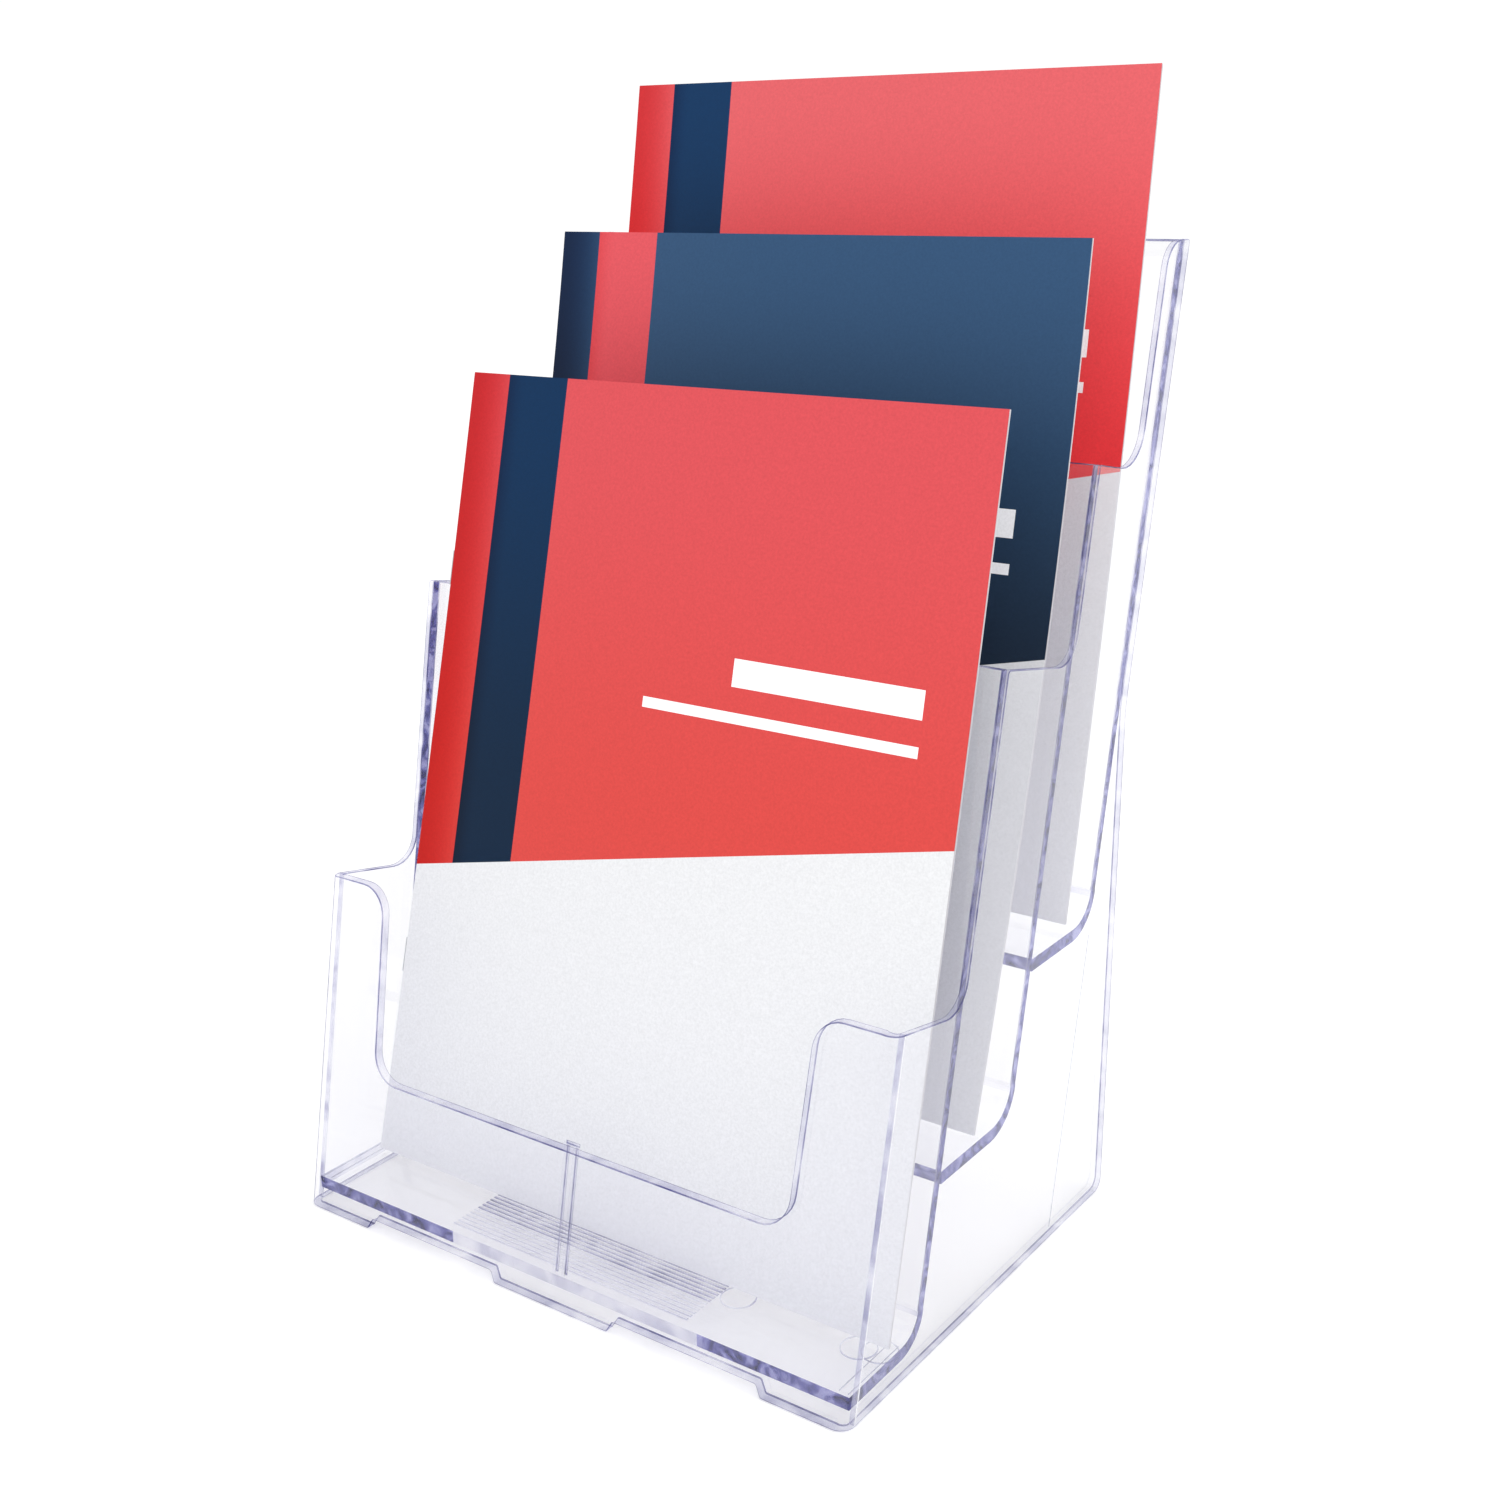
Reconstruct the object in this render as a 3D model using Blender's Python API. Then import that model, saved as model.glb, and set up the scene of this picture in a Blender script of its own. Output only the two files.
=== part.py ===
"""Three-tier countertop brochure rack in clear polystyrene, with a booklet standing in each pocket.

Run with: blender --background --python part.py
Units are metres, +Z is up and -Y is the front. The origin is under the centre of the whole object.
"""
import math

import bmesh
import bpy
from mathutils import Matrix, Vector

NAME = "brochure_rack"
MM = 0.001
GAP = 0.3 * MM
WELD = 0.01 * MM
ARC_STEP = math.radians(15)

# Rack: widths are over the outside of the side panels, which splay outwards as they rise.
BASE_WIDTH = 222.8 * MM
TOP_WIDTH = 241.0 * MM
RACK_HEIGHT = 323.0 * MM
BASE_DEPTH = 161.0 * MM
LEAN = math.radians(11.2)
WALL = 3.2 * MM
SIDE = 2.2 * MM
FLOOR = 4.2 * MM

# Leaning walls: where each front face would meet the ground, and the height of its posts.
FRONT_WALL_Y = 0.0
MIDDLE_WALL_Y = 38.8 * MM
UPPER_WALL_Y = 82.0 * MM
BACK_WALL_BACK_Y = 126.5 * MM
FRONT_POST = 112.7 * MM
MIDDLE_POST = 205.0 * MM
UPPER_POST = 257.7 * MM

# Pocket floors: the height of each top face, and the curved heel that runs up into the wall behind.
FRONT_FLOOR_Z = 8.5 * MM
MIDDLE_FLOOR_Z = 56.5 * MM
UPPER_FLOOR_Z = 105.0 * MM
HEEL_RADIUS = 9.0 * MM
DEEP_HEEL_RADIUS = 12.0 * MM

# Low cut at the centre of each pocket's front wall.
CUT_DEPTH = 63.2 * MM
CUT_HALF_WIDTH_LOW = 84.5 * MM
CUT_HALF_WIDTH_HIGH = 87.5 * MM
CUT_RADIUS = 10.0 * MM

# Skirt under the front wall, cut away between three feet.
SKIRT_Z = 3.5 * MM
CENTRE_FOOT_HALF = 23.5 * MM
CORNER_FOOT_START = 79.5 * MM
FOOT_SLOPE = 2.0 * MM
FOOT_RADIUS = 0.8 * MM

# Side panel outline.
STEP_RADIUS = 10.0 * MM
FLANGE_DEPTH = 15.0 * MM
FLANGE_RADIUS = 13.0 * MM
CREST_RADIUS = 10.0 * MM
REAR_FOOT_RADIUS = 4.0 * MM
REAR_BEND_RADIUS = 40.0 * MM
POST_RADIUS = 1.2 * MM

# Divider slot on the inside of the front wall.
RIB_WIDTH = 1.2 * MM
RIB_DEPTH = 1.8 * MM
RIB_SPACING = 3.7 * MM
CAP_WIDTH = 5.6 * MM
CAP_HEIGHT = 1.2 * MM

# Ribbed grip on the front floor.
GRIP_WIDTH = 97.5 * MM
GRIP_RIBS = 12
GRIP_PITCH = 1.9 * MM
GRIP_RISE = 0.3 * MM
GRIP_START_Y = 7.8 * MM

# Booklets of the usual magazine trim, folded at the left edge and stapled.
SHEET_WIDTH = 212.7 * MM
SHEET_HEIGHT = 276.2 * MM
COVER_SHEET = 0.3 * MM
PAGES = 0.6 * MM
BOOKLET = 2 * COVER_SHEET + PAGES + 2 * GAP
PAGE_TRIM = 1.0 * MM
STAPLE_LENGTH = 12.0 * MM
STAPLE_WIRE = 0.5 * MM
STAPLES = {"foot_staple": 0.25, "head_staple": 0.75}
BOW_STEPS = 8

# Each booklet: side offset, front of its foot, floor it stands on, lift, lean at its foot and at its head.
BOOKLETS = {
    "lower": (1.6 * MM, 28.0 * MM, FRONT_FLOOR_Z, 1.25 * MM, math.radians(14.7), math.radians(13.2)),
    "middle": (2.7 * MM, 75.3 * MM, MIDDLE_FLOOR_Z, 0.5 * MM, math.radians(18.8), math.radians(9.8)),
    "upper": (3.8 * MM, 132.1 * MM, UPPER_FLOOR_Z, 1.5 * MM, math.radians(14.0), math.radians(9.2)),
}

SPLAY = (TOP_WIDTH - BASE_WIDTH) / 2 / RACK_HEIGHT
RUN = math.tan(LEAN)
UP_WALL = Vector((math.sin(LEAN), math.cos(LEAN)))
BACK_FROM_WALL = Vector((math.cos(LEAN), -math.sin(LEAN)))
WALL_RUN = WALL / math.cos(LEAN)


def bowed(foot_lean, head_lean, height):
    """Point (y, z) and lean at a distance up a booklet that bows evenly from its foot to its head."""
    lean = foot_lean + (head_lean - foot_lean) * height / SHEET_HEIGHT
    half = (lean - foot_lean) / 2
    chord = height * math.sin(half) / half if half else height
    return Vector((math.sin(foot_lean + half), math.cos(foot_lean + half))) * chord, lean


def furthest_back():
    """Furthest back that the rack or any booklet reaches, measured like the wall positions."""
    reach = [BACK_WALL_BACK_Y + RUN * RACK_HEIGHT]
    for _offset, foot_y, _floor, _lift, foot_lean, head_lean in BOOKLETS.values():
        head, lean = bowed(foot_lean, head_lean, SHEET_HEIGHT)
        reach.append(foot_y + head.x + BOOKLET * math.cos(lean))
    return max(reach)


DEPTH = furthest_back()


def clear_scene():
    for obj in list(bpy.data.objects):
        bpy.data.objects.remove(obj, do_unlink=True)


def collection(name):
    made = bpy.data.collections.new(name)
    bpy.context.scene.collection.children.link(made)
    return made


def material(name, colour, roughness, metallic=0.0, alpha=1.0):
    made = bpy.data.materials.new(name)
    made.use_nodes = True
    shader = made.node_tree.nodes["Principled BSDF"]
    shader.inputs["Base Color"].default_value = (*colour, 1.0)
    shader.inputs["Roughness"].default_value = roughness
    shader.inputs["Metallic"].default_value = metallic
    shader.inputs["Alpha"].default_value = alpha
    return made


def outer_half(z):
    """Half the rack's outside width at height z."""
    return BASE_WIDTH / 2 + SPLAY * z


def inner_half(z):
    """Half the clear width between the side panels at height z, less the gap that panels keep."""
    return outer_half(z) - SIDE - GAP


def on_wall(wall_y, z):
    """Point (y, z) at height z on the face that starts at wall_y."""
    return Vector((wall_y + RUN * z, z))


def fillet(corners):
    """Closed outline from corners (x, y, radius), with each radius worked out as an arc."""
    points = []
    count = len(corners)
    for index, (x, y, radius) in enumerate(corners):
        here = Vector((x, y))
        before = Vector(corners[index - 1][:2]) - here
        after = Vector(corners[(index + 1) % count][:2]) - here
        if radius <= 0:
            points.append(here)
            continue
        before.normalize()
        after.normalize()
        half = before.angle(after) / 2
        reach = radius / math.tan(half)
        centre = here + (before + after).normalized() * radius / math.sin(half)
        start = here + before * reach - centre
        end = here + after * reach - centre
        turn = start.angle_signed(end)
        steps = max(2, math.ceil(abs(turn) / ARC_STEP))
        for step in range(steps + 1):
            points.append(centre + Matrix.Rotation(-turn * step / steps, 2) @ start)
    return points


def plate(parts, name, outline, thickness, finish):
    """Flat plate from a 2D outline, with its thickness shared either side of the outline's plane."""
    curve = bpy.data.curves.new(name, "CURVE")
    curve.dimensions = "2D"
    curve.fill_mode = "BOTH"
    curve.extrude = thickness / 2
    spline = curve.splines.new("POLY")
    spline.points.add(len(outline) - 1)
    for point, (x, y) in zip(spline.points, outline):
        point.co = (x, y, 0, 1)
    spline.use_cyclic_u = True
    guide = bpy.data.objects.new(name + "_outline", curve)
    parts.objects.link(guide)
    bpy.context.view_layer.update()
    evaluated = guide.evaluated_get(bpy.context.evaluated_depsgraph_get())
    mesh = bpy.data.meshes.new_from_object(evaluated)
    bpy.data.objects.remove(guide)
    edit = bmesh.new()
    edit.from_mesh(mesh)
    bmesh.ops.remove_doubles(edit, verts=edit.verts, dist=WELD)
    bmesh.ops.recalc_face_normals(edit, faces=edit.faces)
    edit.to_mesh(mesh)
    edit.free()
    mesh.name = name
    mesh.materials.append(finish)
    obj = bpy.data.objects.new(name, mesh)
    parts.objects.link(obj)
    return obj


def bake_turn(obj, matrix):
    """Turn the mesh inside its object, so that a later move works in the rack's own axes."""
    obj.data.transform(matrix)
    obj.data.update()


SIDEWAYS = Matrix(((0, 0, 1, 0), (1, 0, 0, 0), (0, 1, 0, 0), (0, 0, 0, 1)))


def mirrored(half):
    """Whole outline from the corners of its right half, given from the foot up to the top and in."""
    return half + [(-x, y, radius) for x, y, radius in reversed(half)]


def side_outline():
    """Side panel seen from the side as (y, z): a stair of three steps leaning back with the walls."""
    front = on_wall(FRONT_WALL_Y, FRONT_POST)
    middle = on_wall(MIDDLE_WALL_Y, MIDDLE_POST)
    upper = on_wall(UPPER_WALL_Y, UPPER_POST)
    crest = on_wall(BACK_WALL_BACK_Y, RACK_HEIGHT)
    flange = crest - Vector((FLANGE_DEPTH / math.cos(LEAN), 0))
    bend = on_wall(BACK_WALL_BACK_Y, (BASE_DEPTH - BACK_WALL_BACK_Y) / RUN)
    corners = [(0.0, 0.0, 0.0), (front.x, front.y, POST_RADIUS)]
    for post, behind in ((front, middle), (middle, upper), (upper, flange)):
        run = (behind - post).dot(BACK_FROM_WALL)
        inner = post + BACK_FROM_WALL * run
        radius = FLANGE_RADIUS if behind is flange else STEP_RADIUS
        corners.append((inner.x, inner.y, radius))
        corners.append((behind.x, behind.y, CREST_RADIUS if behind is flange else POST_RADIUS))
    corners.append((crest.x, crest.y, POST_RADIUS))
    corners.append((bend.x, bend.y, REAR_BEND_RADIUS))
    corners.append((BASE_DEPTH, 0.0, REAR_FOOT_RADIUS))
    return fillet(corners)


def side_panel(parts, name, side, finish):
    """Side panel, leaning outwards from the ground by the rack's splay."""
    obj = plate(parts, name, side_outline(), SIDE, finish)
    bake_turn(obj, SIDEWAYS)
    splay = Matrix.Identity(4)
    splay[0][2] = side * SPLAY
    bake_turn(obj, splay)
    obj.location.x = side * (BASE_WIDTH - SIDE) / 2
    return obj


def wall(parts, name, outline, wall_y, finish):
    """Leaning wall whose front face starts at wall_y; its outline is drawn as (x, distance up the wall)."""
    obj = plate(parts, name, outline, WALL, finish)
    obj.rotation_euler.x = math.pi / 2 - LEAN
    middle = Vector((wall_y, 0)) + BACK_FROM_WALL * WALL / 2
    obj.location = (0, middle.x, middle.y)
    return obj


def cut_corners(post_z):
    """Post height up the wall, post's outer edge, and the cut's right half from the post to the centre."""
    top = post_z / math.cos(LEAN)
    low = (post_z - CUT_DEPTH) / math.cos(LEAN)
    edge = inner_half(post_z)
    return top, edge, [(CUT_HALF_WIDTH_HIGH, top, CUT_RADIUS), (CUT_HALF_WIDTH_LOW, low, CUT_RADIUS)]


def front_wall(parts, finish):
    """Front wall with its low cut, on a skirt that reaches the ground at three feet."""
    ground = WALL * RUN
    skirt = ground + SKIRT_Z
    top, edge, cut = cut_corners(FRONT_POST)
    half = [
        (CENTRE_FOOT_HALF, ground, FOOT_RADIUS),
        (CENTRE_FOOT_HALF + FOOT_SLOPE, skirt, FOOT_RADIUS),
        (CORNER_FOOT_START, skirt, FOOT_RADIUS),
        (CORNER_FOOT_START + FOOT_SLOPE, ground, FOOT_RADIUS),
        (inner_half(0), ground, 0.0),
        (edge, top, POST_RADIUS),
    ]
    half += cut
    return wall(parts, "front_wall", fillet(mirrored(half)), FRONT_WALL_Y, finish)


def heel_top(wall_y, floor_z, radius):
    """Distance up the wall at which the floor's curved heel ends and the wall begins."""
    centre_z = floor_z + radius
    centre = Vector((wall_y + RUN * centre_z - radius / math.cos(LEAN), centre_z))
    return (centre - Vector((wall_y, 0))).dot(UP_WALL)


def pocket_wall(parts, name, wall_y, floor_z, radius, post_z, finish):
    """Wall with a low cut, standing on the heel of the floor in front of it."""
    start = heel_top(wall_y, floor_z, radius) + GAP
    top, edge, cut = cut_corners(post_z)
    half = [(inner_half(start * math.cos(LEAN)), start, 0.0), (edge, top, POST_RADIUS)]
    half += cut
    return wall(parts, name, fillet(mirrored(half)), wall_y, finish)


def back_wall(parts, finish):
    """Plain back wall, from the heel of the upper floor to the top of the rack."""
    face_y = BACK_WALL_BACK_Y - WALL_RUN
    start = heel_top(face_y, UPPER_FLOOR_Z, DEEP_HEEL_RADIUS) + GAP
    crest = on_wall(BACK_WALL_BACK_Y, RACK_HEIGHT) - Vector((face_y, 0))
    top = crest.dot(UP_WALL)
    half = [
        (inner_half(start * math.cos(LEAN)), start, 0.0),
        (inner_half(RACK_HEIGHT), top, POST_RADIUS),
    ]
    return wall(parts, "back_wall", fillet(mirrored(half)), face_y, finish)


def floor_outline(front_face_y, wall_y, floor_z, radius):
    """Floor seen from the side as (y, z): a flat strip whose rear curls up to lie along the wall."""
    start = Vector((front_face_y + RUN * floor_z + GAP, floor_z))
    start_low = Vector((front_face_y + RUN * (floor_z - FLOOR) + GAP, floor_z - FLOOR))
    centre_z = floor_z + radius
    centre = Vector((wall_y + RUN * centre_z - radius / math.cos(LEAN), centre_z))
    sweep = math.pi / 2 - LEAN
    steps = math.ceil(sweep / ARC_STEP)
    inner = []
    outer = []
    for step in range(steps + 1):
        turn = sweep * step / steps
        out = Vector((math.sin(turn), -math.cos(turn)))
        inner.append(centre + out * radius)
        outer.append(centre + out * (radius + FLOOR + (WALL - FLOOR) * step / steps))
    return [start, *inner, *reversed(outer), start_low]


def pocket_floor(parts, name, front_face_y, wall_y, floor_z, radius, finish):
    """Pocket floor with a curved heel, cut to the splayed side panels."""
    outline = floor_outline(front_face_y, wall_y, floor_z, radius)
    obj = plate(parts, name, outline, 2 * inner_half(0), finish)
    bake_turn(obj, SIDEWAYS)
    for vertex in obj.data.vertices:
        vertex.co.x = math.copysign(inner_half(vertex.co.z), vertex.co.x)
    return obj


def divider_slot(parts, finish):
    """Two upright ribs and a cap on the inside of the front wall, where a loose divider would slide in."""
    foot = (FRONT_FLOOR_Z + GAP) / math.cos(LEAN) + (WALL + GAP + RIB_DEPTH) * RUN
    low = (FRONT_POST - CUT_DEPTH) / math.cos(LEAN)
    spots = {"divider_rib_left": -RIB_SPACING / 2, "divider_rib_right": RIB_SPACING / 2}
    pieces = []
    for name, x in spots.items():
        pieces.append((name, x, RIB_WIDTH, foot, low))
    pieces.append(("divider_rib_cap", 0.0, CAP_WIDTH, low + GAP, low + GAP + CAP_HEIGHT))
    for name, x, width, start, end in pieces:
        bpy.ops.mesh.primitive_cube_add(size=1)
        obj = bpy.context.active_object
        obj.name = name
        obj.data.name = name
        obj.data.transform(Matrix.Diagonal((width, end - start, RIB_DEPTH, 1)))
        obj.data.materials.append(finish)
        obj.rotation_euler.x = math.pi / 2 - LEAN
        spot = UP_WALL * (start + end) / 2 + BACK_FROM_WALL * (WALL + GAP + RIB_DEPTH / 2)
        obj.location = (x, spot.x, spot.y)
        move_to(parts, obj)


def floor_grip(parts, finish):
    """Strip of fine ribs across the front floor, which keeps a booklet's foot from sliding."""
    base = FRONT_FLOOR_Z + GAP
    outline = [(GRIP_START_Y, base)]
    for rib in range(GRIP_RIBS):
        start = GRIP_START_Y + rib * GRIP_PITCH
        outline.append((start, base + GRIP_RISE))
        outline.append((start + GRIP_PITCH / 2, base + 2 * GRIP_RISE))
    end = GRIP_START_Y + GRIP_RIBS * GRIP_PITCH
    outline.append((end, base + GRIP_RISE))
    outline.append((end, base))
    obj = plate(parts, "floor_grip", [Vector(point) for point in outline], GRIP_WIDTH, finish)
    bake_turn(obj, SIDEWAYS)
    return obj


def move_to(parts, obj):
    for owner in list(obj.users_collection):
        owner.objects.unlink(obj)
    parts.objects.link(obj)


def bow(obj, foot_lean, head_lean):
    """Bend an upright booklet piece back along its bow, and leave its origin at the booklet's foot."""
    for vertex in obj.data.vertices:
        spot, lean = bowed(foot_lean, head_lean, vertex.co.z)
        thickness = vertex.co.y
        vertex.co.y = spot.x + thickness * math.cos(lean)
        vertex.co.z = spot.y - thickness * math.sin(lean)
    obj.data.update()


def sliced(obj, low, high):
    """Cut an upright piece across at even heights, so that it can bend."""
    edit = bmesh.new()
    edit.from_mesh(obj.data)
    for step in range(1, BOW_STEPS):
        height = low + (high - low) * step / BOW_STEPS
        everything = edit.verts[:] + edit.edges[:] + edit.faces[:]
        bmesh.ops.bisect_plane(edit, geom=everything, dist=WELD, plane_co=(0, 0, height), plane_no=(0, 0, 1))
    edit.to_mesh(obj.data)
    edit.free()


def booklet_cover(parts, name, finish):
    """Folded cover: front leaf, spine at the left and back leaf, drawn in plan and run up its height."""
    half = SHEET_WIDTH / 2
    inside = -half + COVER_SHEET
    outline = [
        (-half, 0.0),
        (half, 0.0),
        (half, COVER_SHEET),
        (inside, COVER_SHEET),
        (inside, BOOKLET - COVER_SHEET),
        (half, BOOKLET - COVER_SHEET),
        (half, BOOKLET),
        (-half, BOOKLET),
    ]
    obj = plate(parts, name, [Vector(point) for point in outline], SHEET_HEIGHT, finish)
    bake_turn(obj, Matrix.Translation((0, 0, SHEET_HEIGHT / 2)))
    sliced(obj, 0.0, SHEET_HEIGHT)
    return obj


def booklet_pages(parts, name, finish):
    """Block of inner pages between the cover's leaves, trimmed a little short of its edges."""
    left = -SHEET_WIDTH / 2 + COVER_SHEET + GAP
    right = SHEET_WIDTH / 2 - PAGE_TRIM
    front = (BOOKLET - PAGES) / 2
    outline = [(left, front), (right, front), (right, front + PAGES), (left, front + PAGES)]
    height = SHEET_HEIGHT - 2 * PAGE_TRIM
    obj = plate(parts, name, [Vector(point) for point in outline], height, finish)
    bake_turn(obj, Matrix.Translation((0, 0, SHEET_HEIGHT / 2)))
    sliced(obj, PAGE_TRIM, SHEET_HEIGHT - PAGE_TRIM)
    return obj


def booklet_staple(parts, name, height, finish):
    """Crown of one wire staple, which lies along the outside of the spine at this height."""
    radius = STAPLE_WIRE / 2
    sides = 8
    outline = []
    for side in range(sides):
        turn = 2 * math.pi * side / sides
        outline.append(Vector((radius * math.cos(turn), radius * math.sin(turn))))
    obj = plate(parts, name, outline, STAPLE_LENGTH, finish)
    bake_turn(obj, Matrix.Translation((-SHEET_WIDTH / 2 - GAP - radius, BOOKLET / 2, height)))
    return obj


def booklet(parts, frame, tier, cover_finish, page_finish, wire_finish):
    """One booklet, built upright and bowed back over an empty that stands at its foot."""
    offset, foot_y, floor_z, lift, foot_lean, head_lean = BOOKLETS[tier]
    slide = bpy.data.objects.new(f"{tier}_booklet_slide", None)
    parts.objects.link(slide)
    slide.parent = frame
    slide.location = (offset, foot_y, floor_z + lift + BOOKLET * math.sin(foot_lean))
    pieces = [
        booklet_cover(parts, f"{tier}_booklet_cover", cover_finish),
        booklet_pages(parts, f"{tier}_booklet_pages", page_finish),
    ]
    for name, share in STAPLES.items():
        height = share * SHEET_HEIGHT
        pieces.append(booklet_staple(parts, f"{tier}_booklet_{name}", height, wire_finish))
    for piece in pieces:
        bow(piece, foot_lean, head_lean)
        piece.parent = slide


def build():
    clear_scene()
    parts = collection(NAME)
    collection(NAME + "_cutters")
    clear = material("clear_polystyrene", (0.86, 0.86, 0.95), 0.05, alpha=0.4)
    red = material("red_cover_stock", (0.78, 0.10, 0.13), 0.5)
    navy = material("navy_cover_stock", (0.03, 0.10, 0.20), 0.5)
    paper = material("page_paper", (0.85, 0.86, 0.88), 0.8)
    wire = material("staple_wire", (0.6, 0.6, 0.62), 0.3, metallic=1.0)

    side_panel(parts, "side_panel_left", -1, clear)
    side_panel(parts, "side_panel_right", 1, clear)
    front_wall(parts, clear)
    pocket_wall(parts, "middle_wall", MIDDLE_WALL_Y, FRONT_FLOOR_Z, HEEL_RADIUS, MIDDLE_POST, clear)
    pocket_wall(parts, "upper_wall", UPPER_WALL_Y, MIDDLE_FLOOR_Z, DEEP_HEEL_RADIUS, UPPER_POST, clear)
    back_wall(parts, clear)
    floors = (
        ("front_floor", FRONT_WALL_Y, MIDDLE_WALL_Y, FRONT_FLOOR_Z, HEEL_RADIUS),
        ("middle_floor", MIDDLE_WALL_Y, UPPER_WALL_Y, MIDDLE_FLOOR_Z, DEEP_HEEL_RADIUS),
        ("upper_floor", UPPER_WALL_Y, BACK_WALL_BACK_Y - WALL_RUN, UPPER_FLOOR_Z, DEEP_HEEL_RADIUS),
    )
    for name, front_y, wall_y, floor_z, radius in floors:
        pocket_floor(parts, name, front_y + WALL_RUN, wall_y, floor_z, radius, clear)
    divider_slot(parts, clear)
    floor_grip(parts, clear)

    frame = bpy.data.objects.new("rack_frame", None)
    parts.objects.link(frame)
    for obj in list(parts.objects):
        if obj is not frame:
            obj.parent = frame
    for tier, finish in (("lower", red), ("middle", navy), ("upper", red)):
        booklet(parts, frame, tier, finish, paper, wire)
    frame.location.y = -DEPTH / 2
    bpy.context.view_layer.update()


build()
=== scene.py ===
"""Visual model of a three-tier countertop brochure rack in clear polystyrene, with a booklet in each pocket.

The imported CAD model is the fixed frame. The panels are rebuilt here as one rounded, edge-lit moulding, and
the booklets as bowed and folded sheets. The staples are the CAD's own. Units are metres, +Z is up and -Y is
the front.
"""

import logging
import math
from dataclasses import dataclass
from enum import Enum
from typing import Any, Callable, Iterable

import bmesh
import bpy
from mathutils import Matrix, Vector


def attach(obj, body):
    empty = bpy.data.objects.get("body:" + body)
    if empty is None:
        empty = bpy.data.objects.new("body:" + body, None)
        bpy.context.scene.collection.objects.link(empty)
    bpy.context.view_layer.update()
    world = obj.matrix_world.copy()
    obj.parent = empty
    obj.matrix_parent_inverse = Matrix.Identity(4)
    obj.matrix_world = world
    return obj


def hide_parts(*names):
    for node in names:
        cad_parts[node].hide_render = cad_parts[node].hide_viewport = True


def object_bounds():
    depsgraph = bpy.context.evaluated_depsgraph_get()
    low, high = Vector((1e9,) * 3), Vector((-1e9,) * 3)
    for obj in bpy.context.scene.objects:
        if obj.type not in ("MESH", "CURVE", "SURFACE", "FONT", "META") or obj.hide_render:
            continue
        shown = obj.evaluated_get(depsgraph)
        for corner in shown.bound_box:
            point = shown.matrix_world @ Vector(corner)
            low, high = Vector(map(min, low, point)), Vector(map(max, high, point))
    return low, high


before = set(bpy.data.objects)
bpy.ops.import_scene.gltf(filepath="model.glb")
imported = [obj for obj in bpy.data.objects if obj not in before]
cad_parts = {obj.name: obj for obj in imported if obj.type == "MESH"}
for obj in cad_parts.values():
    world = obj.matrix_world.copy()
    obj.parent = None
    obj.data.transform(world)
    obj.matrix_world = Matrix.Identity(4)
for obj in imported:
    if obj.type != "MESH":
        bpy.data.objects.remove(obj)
CAD_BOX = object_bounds()
LOG = logging.getLogger("brochure_rack")

MM = 0.001
WELD = 0.005 * MM
SMOOTH_BELOW = math.radians(40)
HALF_TURN_SEGMENTS = 14
WHITE = (1.0, 1.0, 1.0, 1.0)

# Where a colour Mix node keeps its share, its two colours and its result.
SHARE, FIRST, SECOND, MIXED = 0, 6, 7, 2


class Side(Enum):
    """Which side of the rack a panel stands on."""

    LEFT = -1
    RIGHT = 1


class Kind(Enum):
    """What a face of the moulding is; the value is its material slot."""

    CLEAR = 0
    RIM = 1
    ARRIS = 2
    END = 3


class Paper(Enum):
    """Which side of a cover a face is on; the value is its material slot."""

    PRINTED = 0
    BARE = 1


class Tier(Enum):
    """One of the three pockets, by the name its booklet has in the CAD."""

    LOWER = "lower"
    MIDDLE = "middle"
    UPPER = "upper"


# ---------------------------------------------------------------------------------------------- small tools


def linear(code: str) -> tuple[float, float, float, float]:
    """Turn an sRGB hex colour into linear RGBA.

    Args:
        code: Six hex digits, such as "E8505A".

    Returns:
        The colour as Blender's shaders take it.
    """
    made = []
    for start in (0, 2, 4):
        value = int(code[start : start + 2], 16) / 255
        made.append(value / 12.92 if value <= 0.04045 else ((value + 0.055) / 1.055) ** 2.4)
    return (made[0], made[1], made[2], 1.0)


def add_node(
    tree: bpy.types.NodeTree, kind: str, inputs: dict[Any, Any] | None = None, **settings: Any
) -> bpy.types.Node:
    """Add one node to a tree with its settings, values and links.

    Args:
        tree: The node tree.
        kind: The shader node's type without its prefix, such as "Math".
        inputs: Input name or number to a plain value, or to an output socket that is linked in.
        **settings: Attributes of the node itself.

    Returns:
        The new node.
    """
    node = tree.nodes.new(f"ShaderNode{kind}")
    for name, value in settings.items():
        setattr(node, name, value)
    for name, value in (inputs or {}).items():
        if isinstance(value, bpy.types.NodeSocket):
            tree.links.new(value, node.inputs[name])
        else:
            node.inputs[name].default_value = value
    return node


def grain(
    tree: bpy.types.NodeTree, size_mm: float, detail: float, roughness: float = 0.5,
    stretch: tuple[float, float, float] = (1.0, 1.0, 1.0), swirl: float = 0.0,
) -> bpy.types.NodeSocket:
    """Draw a pattern on the piece's own coordinates, with features of a real size.

    Args:
        tree: The material's tree.
        size_mm: The size of its features.
        detail: How many finer layers it has.
        roughness: How strong those layers are.
        stretch: Scale along each axis. Less than 1 draws the features out along it.
        swirl: How far they are twisted.

    Returns:
        The pattern, from 0 to 1.
    """
    where = add_node(tree, "TexCoord").outputs["Object"]
    drawn = add_node(tree, "Mapping", {"Vector": where, "Scale": stretch}).outputs["Vector"]
    settings = {"Vector": drawn, "Scale": 1000 / size_mm, "Detail": detail, "Roughness": roughness}
    return add_node(tree, "TexNoise", {**settings, "Distortion": swirl}).outputs["Fac"]


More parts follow.
